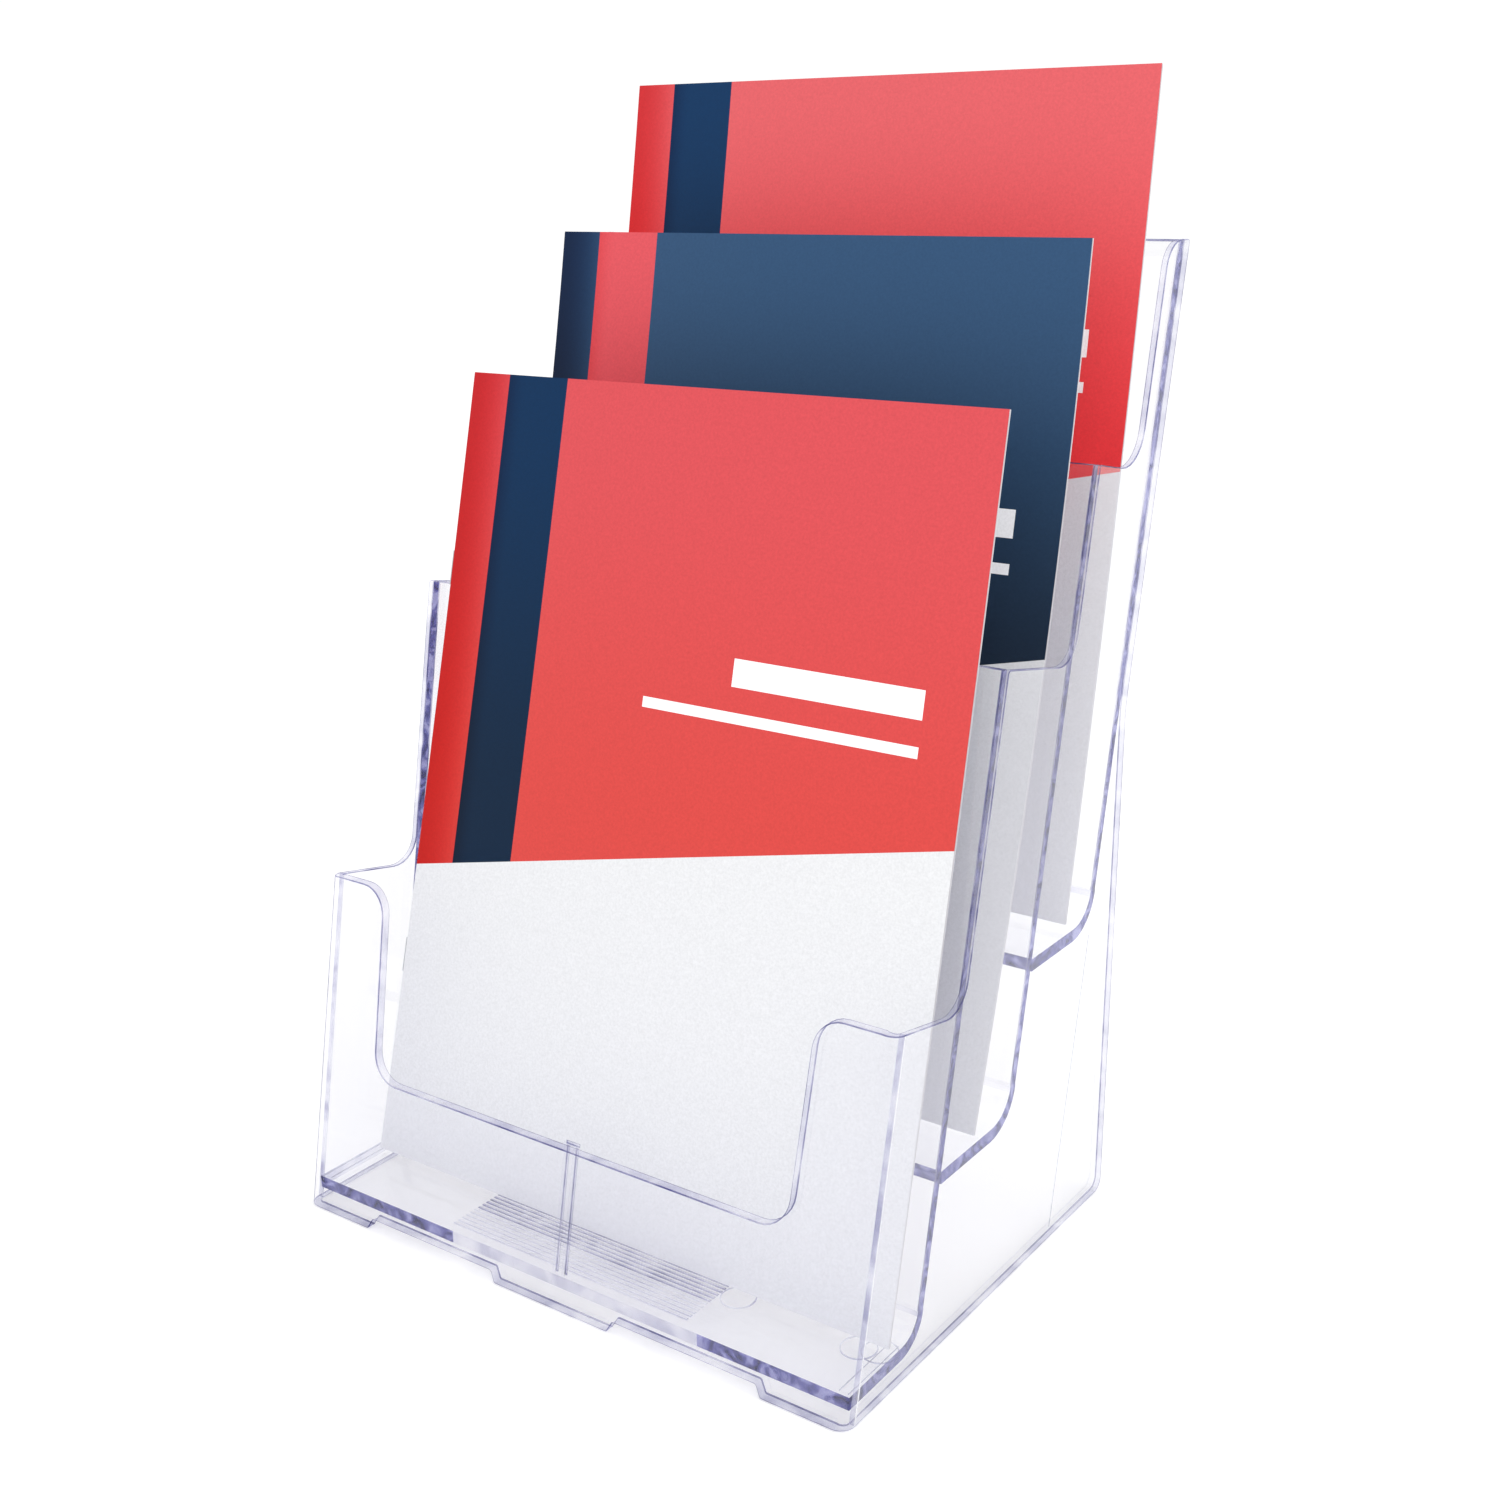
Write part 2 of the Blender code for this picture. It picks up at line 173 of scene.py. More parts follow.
def band(
    tree: bpy.types.NodeTree, value: bpy.types.NodeSocket, low: float, high: float
) -> bpy.types.NodeSocket:
    """Give 1 where a value lies between two limits, and 0 elsewhere.

    Args:
        tree: The material's tree.
        value: The value.
        low: The lower limit.
        high: The upper limit.

    Returns:
        The band.
    """
    above = add_node(tree, "Math", {0: value, 1: low}, operation="GREATER_THAN").outputs[0]
    below = add_node(tree, "Math", {0: value, 1: high}, operation="LESS_THAN").outputs[0]
    return add_node(tree, "Math", {0: above, 1: below}, operation="MULTIPLY").outputs[0]


def piece_from(
    bm: bmesh.types.BMesh, name: str, body: str, materials: Iterable[bpy.types.Material]
) -> bpy.types.Object:
    """Make a finished object at the origin from a bmesh, and let it ride on a CAD body.

    Args:
        bm: The piece's mesh, already in the row's frame. It is freed.
        name: The piece's name.
        body: The CAD body it rides on.
        materials: One material per slot.

    Returns:
        The new object.
    """
    mesh = bpy.data.meshes.new(name)
    bm.to_mesh(mesh)
    bm.free()
    for finish in materials:
        mesh.materials.append(finish)
    obj = bpy.data.objects.new(name, mesh)
    bpy.context.scene.collection.objects.link(obj)
    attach(obj, body)
    LOG.info("%s: %d faces on %s", name, len(mesh.polygons), body)
    return obj


def flat_outline(corners: list[tuple[float, float, float]]) -> bmesh.types.BMesh:
    """Start a bmesh from a flat outline whose corners are rounded by bevelling them one by one.

    Args:
        corners: The outline's corners as (x, y, radius), in order.

    Returns:
        A bmesh with one face at z = 0.
    """
    bm = bmesh.new()
    verts = [bm.verts.new((x, y, 0.0)) for x, y, _radius in corners]
    bm.faces.new(verts)
    count = len(corners)
    for index, (vert, (_x, _y, radius)) in enumerate(zip(verts, corners)):
        if radius <= 0:
            continue
        here = Vector(corners[index][:2])
        before = Vector(corners[index - 1][:2]) - here
        after = Vector(corners[(index + 1) % count][:2]) - here
        half = before.angle(after) / 2
        segments = max(2, round((math.pi - 2 * half) * HALF_TURN_SEGMENTS / math.pi))
        bmesh.ops.bevel(
            bm, geom=[vert], offset=radius / math.tan(half), offset_type="OFFSET", affect="VERTICES",
            segments=segments, profile=0.5, material=-1, clamp_overlap=False,
        )
    return bm


def thicken(bm: bmesh.types.BMesh, depth: float) -> None:
    """Extrude a flat outline into a plate between z = 0 and z = depth, with its faces out.

    Args:
        bm: A bmesh that holds one flat face.
        depth: The plate's thickness.
    """
    made = bmesh.ops.extrude_face_region(bm, geom=bm.faces[:])
    moved = [part for part in made["geom"] if isinstance(part, bmesh.types.BMVert)]
    bmesh.ops.translate(bm, verts=moved, vec=(0, 0, depth))
    bmesh.ops.recalc_face_normals(bm, faces=bm.faces)


def slice_across(bm: bmesh.types.BMesh, places: Iterable[Vector], normal: Vector) -> None:
    """Cut a mesh across at several places, so that it can bend there.

    Args:
        bm: The mesh.
        places: A point on each cutting plane.
        normal: The planes' shared normal.
    """
    for place in places:
        everything = bm.verts[:] + bm.edges[:] + bm.faces[:]
        bmesh.ops.bisect_plane(bm, geom=everything, dist=WELD, plane_co=place, plane_no=normal)


def soften(bm: bmesh.types.BMesh, width: float, segments: int = 2, chosen: Callable | None = None) -> None:
    """Round a plate's arrises and mark the new strips.

    Args:
        bm: A closed mesh whose faces already carry their kinds.
        width: How far the rounding reaches.
        segments: How many strips it takes.
        chosen: Keeps an edge if it returns True for it. Without it every sharp edge is rounded.
    """
    sharp = [edge for edge in bm.edges if edge.is_manifold and edge.calc_face_angle(0.0) > SMOOTH_BELOW]
    if chosen is not None:
        sharp = [edge for edge in sharp if chosen(edge)]
    made = bmesh.ops.bevel(
        bm, geom=sharp, offset=width, offset_type="OFFSET", affect="EDGES",
        segments=segments, profile=0.5, material=-1, clamp_overlap=True,
    )
    for face in made["faces"]:
        face.material_index = Kind.ARRIS.value
        face.smooth = True


def mark(bm: bmesh.types.BMesh, kind: Kind, test: Callable[[bmesh.types.BMFace], bool]) -> None:
    """Give a kind to each face that passes a test.

    Args:
        bm: The mesh.
        kind: The kind to give.
        test: Returns True for a face of that kind.
    """
    for face in bm.faces:
        if test(face):
            face.material_index = kind.value


def place(bm: bmesh.types.BMesh, matrix: Matrix) -> None:
    """Turn and move a whole mesh into the row's frame.

    Args:
        bm: The mesh.
        matrix: The transform.
    """
    bmesh.ops.transform(bm, matrix=matrix, verts=bm.verts)


def add_block(bm: bmesh.types.BMesh, middle: Iterable[float], size: tuple[float, float, float]) -> None:
    """Add a straight block to a mesh.

    Args:
        bm: The mesh.
        middle: The block's centre.
        size: Its length along each axis.
    """
    made = bmesh.ops.create_cube(bm, size=1.0)
    matrix = Matrix.Translation(middle) @ Matrix.Diagonal((*size, 1.0))
    bmesh.ops.transform(bm, verts=made["verts"], matrix=matrix)


# ---------------------------------------------------------------------------------------------- sizes


@dataclass(frozen=True)
class RackSizes:
    """The rack's driving sizes, as in its CAD. Depths are measured back from the foot of the front wall."""

    base_width: float = 222.8 * MM
    top_width: float = 241.0 * MM
    height: float = 323.0 * MM
    base_depth: float = 161.0 * MM
    lean: float = math.radians(11.2)
    wall: float = 3.2 * MM
    side: float = 2.2 * MM
    floor: float = 4.2 * MM
    front_wall_y: float = 0.0
    middle_wall_y: float = 38.8 * MM
    upper_wall_y: float = 82.0 * MM
    back_wall_back_y: float = 126.5 * MM
    front_post: float = 112.7 * MM
    middle_post: float = 205.0 * MM
    upper_post: float = 257.7 * MM
    front_floor_z: float = 8.5 * MM
    middle_floor_z: float = 56.5 * MM
    upper_floor_z: float = 105.0 * MM
    heel_radius: float = 9.0 * MM
    deep_heel_radius: float = 12.0 * MM
    cut_depth: float = 63.2 * MM
    cut_half_low: float = 84.5 * MM
    cut_half_high: float = 87.5 * MM
    cut_radius: float = 10.0 * MM
    corner_radius: float = 5.0 * MM
    arris: float = 0.32 * MM
    seam: float = 0.02 * MM

    @property
    def run(self) -> float:
        """How far a wall leans back for each metre it rises."""
        return math.tan(self.lean)

    @property
    def splay(self) -> float:
        """How far a side panel moves out for each metre it rises."""
        return (self.top_width - self.base_width) / 2 / self.height

    @property
    def wall_run(self) -> float:
        """A wall's thickness measured level."""
        return self.wall / math.cos(self.lean)

    @property
    def shift(self) -> float:
        """From depths behind the front wall's foot to the row's own y."""
        return CAD_BOX[0].y

    def outer(self, z: float) -> float:
        """Half the outside width at a height."""
        return self.base_width / 2 + self.splay * z

    def inner(self, z: float) -> float:
        """Half the clear width at a height, less a hair's breadth of seam."""
        return self.outer(z) - self.side - self.seam

    def on_wall(self, foot_y: float, z: float) -> Vector:
        """Point (y, z) on a leaning face.

        Args:
            foot_y: Where the face would meet the ground.
            z: The height.

        Returns:
            The point.
        """
        return Vector((foot_y + self.run * z, z))

    def wall_matrix(self, foot_y: float) -> Matrix:
        """Stand a plate drawn as (x, up the wall, depth into it) up as a leaning wall.

        Args:
            foot_y: Where the wall's front face meets the ground.

        Returns:
            The transform into the row's frame.
        """
        up = Vector((0, math.sin(self.lean), math.cos(self.lean)))
        back = Vector((0, math.cos(self.lean), -math.sin(self.lean)))
        columns = (Vector((1, 0, 0)), up, back)
        turn = Matrix(columns).transposed().to_4x4()
        return Matrix.Translation((0, foot_y + self.shift, 0)) @ turn

    def side_matrix(self) -> Matrix:
        """Turn a plate drawn as (depth, height, sideways) into the row's frame.

        Returns:
            The transform.
        """
        axes = (Vector((0, 1, 0)), Vector((0, 0, 1)), Vector((1, 0, 0)))
        turn = Matrix(axes).transposed().to_4x4()
        return Matrix.Translation((0, self.shift, 0)) @ turn


SIZES = RackSizes()

# ---------------------------------------------------------------------------------------------- finishes


@dataclass(frozen=True)
class Finish:
    """What every finish shares."""

    name: str

    def shader(self, tree: bpy.types.NodeTree) -> bpy.types.NodeSocket:
        """Draw the finish in a tree and give its shader, which each finish does in its own way."""
        raise NotImplementedError

    def build(self) -> bpy.types.Material:
        """Make the material.

        Returns:
            The material.
        """
        made = bpy.data.materials.new(self.name)
        made.use_nodes = True
        made.node_tree.nodes.clear()
        add_node(made.node_tree, "OutputMaterial", {"Surface": self.shader(made.node_tree)})
        return made


@dataclass(frozen=True)
class ClearMoulding(Finish):
    """Crystal polystyrene, injection moulded against a polished steel cavity.

    The eye sees through it almost unchanged. What shows is a mirror-like gloss that grows towards grazing,
    with the slow ripple that melt flow leaves in it, and the faintest violet in what lies behind. Close to
    the ground it also holds back part of the light that lights other things, which stands for the light that
    clear plastic turns aside.
    """

    name: str = "crystal_polystyrene_polished_moulding"
    tint: str = "FDFDFE"
    gloss_head_on: float = 0.05
    gloss_power: float = 5.0
    roughness: float = 0.03
    ripple_mm: float = 22.0
    ripple_draw: float = 0.45
    ripple_depth_mm: float = 0.03
    foot_mm: float = 8.0
    foot_block: float = 0.9

    def shader(self, tree: bpy.types.NodeTree) -> bpy.types.NodeSocket:
        """Draw the finish: a clear film with a gloss that grows towards grazing.

        Args:
            tree: The material's tree.

        Returns:
            The shader.
        """
        ripple = grain(tree, self.ripple_mm, 2.0, roughness=0.4, stretch=(1.0, 1.0, self.ripple_draw))
        wave = {"Height": ripple, "Distance": self.ripple_depth_mm * MM, "Strength": 1.0}
        normal = add_node(tree, "Bump", wave).outputs["Normal"]
        facing = add_node(tree, "LayerWeight", {"Blend": 0.5}).outputs["Facing"]
        steep = add_node(tree, "Math", {0: facing, 1: self.gloss_power}, operation="POWER").outputs[0]
        growth = {0: steep, 1: 1 - self.gloss_head_on, 2: self.gloss_head_on}
        share = add_node(tree, "Math", growth, operation="MULTIPLY_ADD").outputs[0]
        where = add_node(tree, "TexCoord").outputs["Object"]
        height = add_node(tree, "SeparateXYZ", {"Vector": where}).outputs["Z"]
        fade = {"Value": height, "From Max": self.foot_mm * MM, "To Min": self.foot_block, "To Max": 0.0}
        foot = add_node(tree, "MapRange", fade).outputs["Result"]
        path = add_node(tree, "LightPath").outputs
        rays = {0: path["Is Shadow Ray"], 1: path["Is Diffuse Ray"]}
        lighting = add_node(tree, "Math", rays, operation="MAXIMUM").outputs[0]
        blocked = add_node(tree, "Math", {0: foot, 1: lighting}, operation="MULTIPLY").outputs[0]
        share = add_node(tree, "Math", {0: share, 1: blocked}, operation="MAXIMUM").outputs[0]
        through = add_node(tree, "BsdfTransparent", {"Color": linear(self.tint)}).outputs[0]
        skin = {"Color": WHITE, "Roughness": self.roughness, "Normal": normal}
        gloss = add_node(tree, "BsdfGlossy", skin).outputs[0]
        return add_node(tree, "MixShader", {0: share, 1: through, 2: gloss}).outputs[0]


@dataclass(frozen=True)
class EdgeLight(Finish):
    """An edge of the same polystyrene, where light that has run along inside the sheet comes out.

    Crystal polystyrene is toned with a trace of blue, so a long way through it shows as violet. An edge is
    seen as a soft violet film over what lies behind. The violet is the plastic's own tone; the film's
    lightness is painted light from the edge, and its wander between pale and deep is painted reflection.
    """

    pale: str
    middle: str
    deep: str
    share: float
    patch_mm: float = 14.0
    swirl: float = 0.6
    roughness: float = 0.12
    stops: tuple[float, float, float] = (0.36, 0.5, 0.68)

    def shader(self, tree: bpy.types.NodeTree) -> bpy.types.NodeSocket:
        """Draw the finish: a tinted film, with a share of solid colour in it.

        Args:
            tree: The material's tree.

        Returns:
            The shader.
        """
        # Painted reflection: the pale and deep patches stand in for the light and dark an edge throws back.
        flow = grain(tree, self.patch_mm, 2.0, swirl=self.swirl)
        ramp = add_node(tree, "ValToRGB", {"Fac": flow})
        ends = ramp.color_ramp.elements
        ends[0].position, ends[0].color = self.stops[0], linear(self.pale)
        ends[1].position, ends[1].color = self.stops[2], linear(self.deep)
        ends.new(self.stops[1]).color = linear(self.middle)
        film = ramp.outputs["Color"]
        through = add_node(tree, "BsdfTransparent", {"Color": film}).outputs[0]
        skin = {"Base Color": film, "Roughness": self.roughness, "IOR": 1.59}
        solid = add_node(tree, "BsdfPrincipled", skin).outputs[0]
        return add_node(tree, "MixShader", {0: self.share, 1: through, 2: solid}).outputs[0]


@dataclass(frozen=True)
class PrintedCover(Finish):
    """Coated cover stock, offset printed with a flat colour, a stripe and plain bars, and bare below a slant.

    The ink lies in the paper's satin coat, so the sheen is soft and the colour has a fine tooth of print
    grain. Painted shade deepens it towards the foot and the fold, where less light and sheen reach it.
    """

    ground: str
    ground_foot_shade: str
    stripe: str
    stripe_foot_shade: str
    sheet: tuple[float, float] = (212.7, 276.2)
    stripe_mm: tuple[float, float] = (17.3, 43.8)
    slant_mm: tuple[float, float] = (101.5, 147.2)
    bars_mm: tuple[tuple[float, float, float, float], ...] = (
        (126.5, 196.6, 183.0, 192.0),
        (92.0, 196.6, 171.5, 175.0),
    )
    bars: str = "FAFAFC"
    bare: str = "E4E5E7"
    bare_low: str = "E3E4E9"
    fade_from: float = 0.45
    spine_share: float = 0.12
    spine_shade_depth: float = 1.7
    grain_mm: float = 0.9
    roughness: float = 0.42

    def shader(self, tree: bpy.types.NodeTree) -> bpy.types.NodeSocket:
        """Draw the print on the flat sheet's own map, from (0, 0) at the foot of the fold to (1, 1).

        Args:
            tree: The material's tree.

        Returns:
            The shader.
        """
        wide, tall = self.sheet
        spot = add_node(tree, "UVMap", uv_map="sheet").outputs["UV"]
        across, up, _depth = add_node(tree, "SeparateXYZ", {"Vector": spot}).outputs

        # Painted shade: below the head, the ground and the stripe darken to their foot colours.
        fade = {"Value": up, "From Min": self.fade_from, "From Max": 1.0}
        head = add_node(tree, "MapRange", fade, interpolation_type="SMOOTHSTEP").outputs["Result"]
        tones = []
        for low, high in ((self.ground_foot_shade, self.ground), (self.stripe_foot_shade, self.stripe)):
            colours = {SHARE: head, FIRST: linear(low), SECOND: linear(high)}
            tones.append(add_node(tree, "Mix", colours, data_type="RGBA").outputs[MIXED])
        in_stripe = band(tree, across, self.stripe_mm[0] / wide, self.stripe_mm[1] / wide)
        inks = {SHARE: in_stripe, FIRST: tones[0], SECOND: tones[1]}
        flat_ink = add_node(tree, "Mix", inks, data_type="RGBA").outputs[MIXED]
        # Painted shade: the ink deepens towards the fold, where the cover takes less sheen.
        fold = {"Value": across, "From Max": self.spine_share, "To Min": self.spine_shade_depth, "To Max": 1.0}
        fold_shade = add_node(tree, "MapRange", fold, interpolation_type="SMOOTHSTEP").outputs["Result"]
        ink = add_node(tree, "Gamma", {"Color": flat_ink, "Gamma": fold_shade}).outputs["Color"]
        for left, right, low, high in self.bars_mm:
            sides = band(tree, across, left / wide, right / wide)
            rows = band(tree, up, low / tall, high / tall)
            bar = add_node(tree, "Math", {0: sides, 1: rows}, operation="MULTIPLY").outputs[0]
            inks = {SHARE: bar, FIRST: ink, SECOND: linear(self.bars)}
            ink = add_node(tree, "Mix", inks, data_type="RGBA").outputs[MIXED]

        twice = add_node(tree, "Math", {0: up, 1: 2.0}, operation="MULTIPLY").outputs[0]
        papers = {SHARE: twice, FIRST: linear(self.bare_low), SECOND: linear(self.bare)}
        bare = add_node(tree, "Mix", papers, data_type="RGBA").outputs[MIXED]
        slant = {0: across, 1: (self.slant_mm[1] - self.slant_mm[0]) / tall, 2: self.slant_mm[0] / tall}
        edge = add_node(tree, "Math", slant, operation="MULTIPLY_ADD").outputs[0]
        inked = add_node(tree, "Math", {0: up, 1: edge}, operation="GREATER_THAN").outputs[0]
        halves = {SHARE: inked, FIRST: bare, SECOND: ink}
        colour = add_node(tree, "Mix", halves, data_type="RGBA").outputs[MIXED]

        tooth = grain(tree, self.grain_mm, 3.0, roughness=0.7)
        spread = {"Value": tooth, "From Min": 0.3, "From Max": 0.7, "To Min": 0.93, "To Max": 1.06}
        tone = add_node(tree, "MapRange", spread).outputs["Result"]
        toned = add_node(tree, "VectorMath", {0: colour, "Scale": tone}, operation="SCALE").outputs[0]
        relief = {"Height": tooth, "Distance": 0.02 * MM, "Strength": 0.6}
        skin = {
            "Base Color": toned, "Roughness": self.roughness, "IOR": 1.45, "Specular IOR Level": 0.12,
            "Normal": add_node(tree, "Bump", relief).outputs["Normal"],
        }
        return add_node(tree, "BsdfPrincipled", skin).outputs[0]


@dataclass(frozen=True)
class BarePaper(Finish):
    """Paper with no print: white stock whose fibres give it a soft, matt, faintly uneven face.

    Its glow is painted light, which lifts the paper where it lies in shade.
    """

    colour: str
    fibre_mm: float = 1.4
    roughness: float = 0.7
    streak: float = 1.0
    glow: float = 0.0

    def shader(self, tree: bpy.types.NodeTree) -> bpy.types.NodeSocket:
        """Draw the finish: matt, with fibres that shade it and raise it.

        Args:
            tree: The material's tree.

        Returns:
            The shader.
        """
        fibre = grain(tree, self.fibre_mm, 4.0, roughness=0.65, stretch=(1.0, self.streak, 1.0))
        spread = {"Value": fibre, "From Min": 0.25, "From Max": 0.75, "To Min": 0.95, "To Max": 1.03}
        tone = add_node(tree, "MapRange", spread).outputs["Result"]
        white = {0: linear(self.colour)[:3], "Scale": tone}
        relief = {"Height": fibre, "Distance": 0.03 * MM, "Strength": 0.6}
        skin = {
            "Base Color": add_node(tree, "VectorMath", white, operation="SCALE").outputs[0],
            "Roughness": self.roughness, "Specular IOR Level": 0.3,
            "Normal": add_node(tree, "Bump", relief).outputs["Normal"],
            # Painted light on paper, which brightens it where it is shaded; the light table's glow is its own
            # light from below.
            "Emission Color": linear(self.colour), "Emission Strength": self.glow,
        }
        return add_node(tree, "BsdfPrincipled", skin).outputs[0]


@dataclass(frozen=True)
class DrawnWire(Finish):
    """Galvanised steel wire, drawn through a die, which leaves fine bright lines along it."""

    name: str = "galvanised_steel_drawn_wire"
    colour: str = "C4C6CA"
    line_mm: float = 0.12
    line_draw: float = 0.05
    roughness: float = 0.32
    roughness_spread: float = 0.12

    def shader(self, tree: bpy.types.NodeTree) -> bpy.types.NodeSocket:
        """Draw the finish: metal with lines that change its roughness.

        Args:
            tree: The material's tree.

        Returns:
            The shader.
        """
        lines = grain(tree, self.line_mm, 2.0, stretch=(1.0, 1.0, self.line_draw))
        low, high = self.roughness - self.roughness_spread, self.roughness + self.roughness_spread
        rough = add_node(tree, "MapRange", {"Value": lines, "To Min": low, "To Max": high}).outputs["Result"]
        relief = {"Height": lines, "Distance": 0.02 * MM, "Strength": 0.5}
        normal = add_node(tree, "Bump", relief).outputs["Normal"]
        skin = {"Base Color": linear(self.colour), "Metallic": 1.0, "Roughness": rough, "Normal": normal}
        return add_node(tree, "BsdfPrincipled", skin).outputs[0]


@dataclass(frozen=True)
class LightTable(BarePaper):
    """Opal acrylic top of a product table, matt like paper and lit from below, so shadows on it are faint."""

    name: str = "opal_acrylic_light_table"
    colour: str = "E6E6E6"
    fibre_mm: float = 2.5
    roughness: float = 0.9
    glow: float = 0.34


# ---------------------------------------------------------------------------------------------- the moulding


@dataclass
class Moulding:
    """The clear moulding: what its pieces share."""

    sizes: RackSizes
    finishes: list[bpy.types.Material]
    body: str = "rack"
    slot: str = "clear_polystyrene"

    def finish(self, bm: bmesh.types.BMesh, name: str, *nodes: str) -> bpy.types.Object:
        """Turn a mesh into a piece of the moulding, with its faces out.

        Standing a plate up as a wall mirrors it, and so does the left side, so the faces are turned here.

        Args:
            bm: The mesh, in the row's frame.
            name: The piece's name.
            *nodes: The CAD nodes it replaces. An added piece replaces none.

        Returns:
            The piece.
        """
        bm.normal_update()
        bmesh.ops.recalc_face_normals(bm, faces=bm.faces)
        obj = piece_from(bm, name, self.body, self.finishes)
        if nodes:
            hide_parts(*nodes)
        return obj


@dataclass
class SidePanel(Moulding):
    """A side panel: a stair of three steps that leans back with the walls, with a flange at the crest."""

    side: Side = Side.RIGHT
    step_radius: float = 10.0 * MM
    flange_depth: float = 15.0 * MM
    flange_radius: float = 13.0 * MM
    crest_radius: float = 10.0 * MM
    rear_foot_radius: float = 4.0 * MM
    rear_bend_radius: float = 40.0 * MM
    post_radius: float = 1.2 * MM

    def outline(self) -> list[tuple[float, float, float]]:
        """Give the panel's corners from the side as (depth, height, radius).

        Returns:
            The corners, starting at the foot of the front edge.
        """
        s = self.sizes
        start = s.corner_radius + s.seam
        middle = s.on_wall(s.middle_wall_y, s.middle_post)
        upper = s.on_wall(s.upper_wall_y, s.upper_post)
        crest = s.on_wall(s.back_wall_back_y, s.height)
        flange = Vector((crest.x - self.flange_depth / math.cos(s.lean), crest.y))
        bend = s.on_wall(s.back_wall_back_y, (s.base_depth - s.back_wall_back_y) / s.run)
        back = Vector((math.cos(s.lean), -math.sin(s.lean)))
        edge = s.on_wall(s.front_wall_y, s.front_post)
        ledge = edge + back * start * math.cos(s.lean)
        corners = [(start, 0.0, 0.0), (ledge.x, ledge.y, 0.0)]
        for post, behind in ((edge, middle), (middle, upper), (upper, flange)):
            inner = post + back * (behind - post).dot(back)
            radius = self.flange_radius if behind is flange else self.step_radius
            corners.append((inner.x, inner.y, radius))
            corners.append((behind.x, behind.y, self.crest_radius if behind is flange else self.post_radius))
        corners.append((crest.x, crest.y, self.post_radius))
        corners.append((bend.x, bend.y, self.rear_bend_radius))
        corners.append((s.base_depth, 0.0, self.rear_foot_radius))
        return corners

    def build(self) -> bpy.types.Object:
        """Build the panel.

        Returns:
            The piece.
        """
        s = self.sizes
        bm = flat_outline(self.outline())
        thicken(bm, s.side)
        front_end = s.corner_radius + 2 * s.seam
        mark(bm, Kind.RIM, lambda face: abs(face.normal.z) < 0.5)
        # The front edge stays square, because it meets the front wall's turned end.
        soften(bm, s.arris, chosen=lambda edge: any(v.co.x > front_end + s.run * v.co.y for v in edge.verts))
        across = self.side.value
        place(bm, s.side_matrix())
        for vert in bm.verts:
            vert.co.x = across * (s.outer(vert.co.z) - s.side + vert.co.x)
        name = f"side_panel_{self.side.name.lower()}_moulded"
        return self.finish(bm, name, f"side_panel_{self.side.name.lower()}")


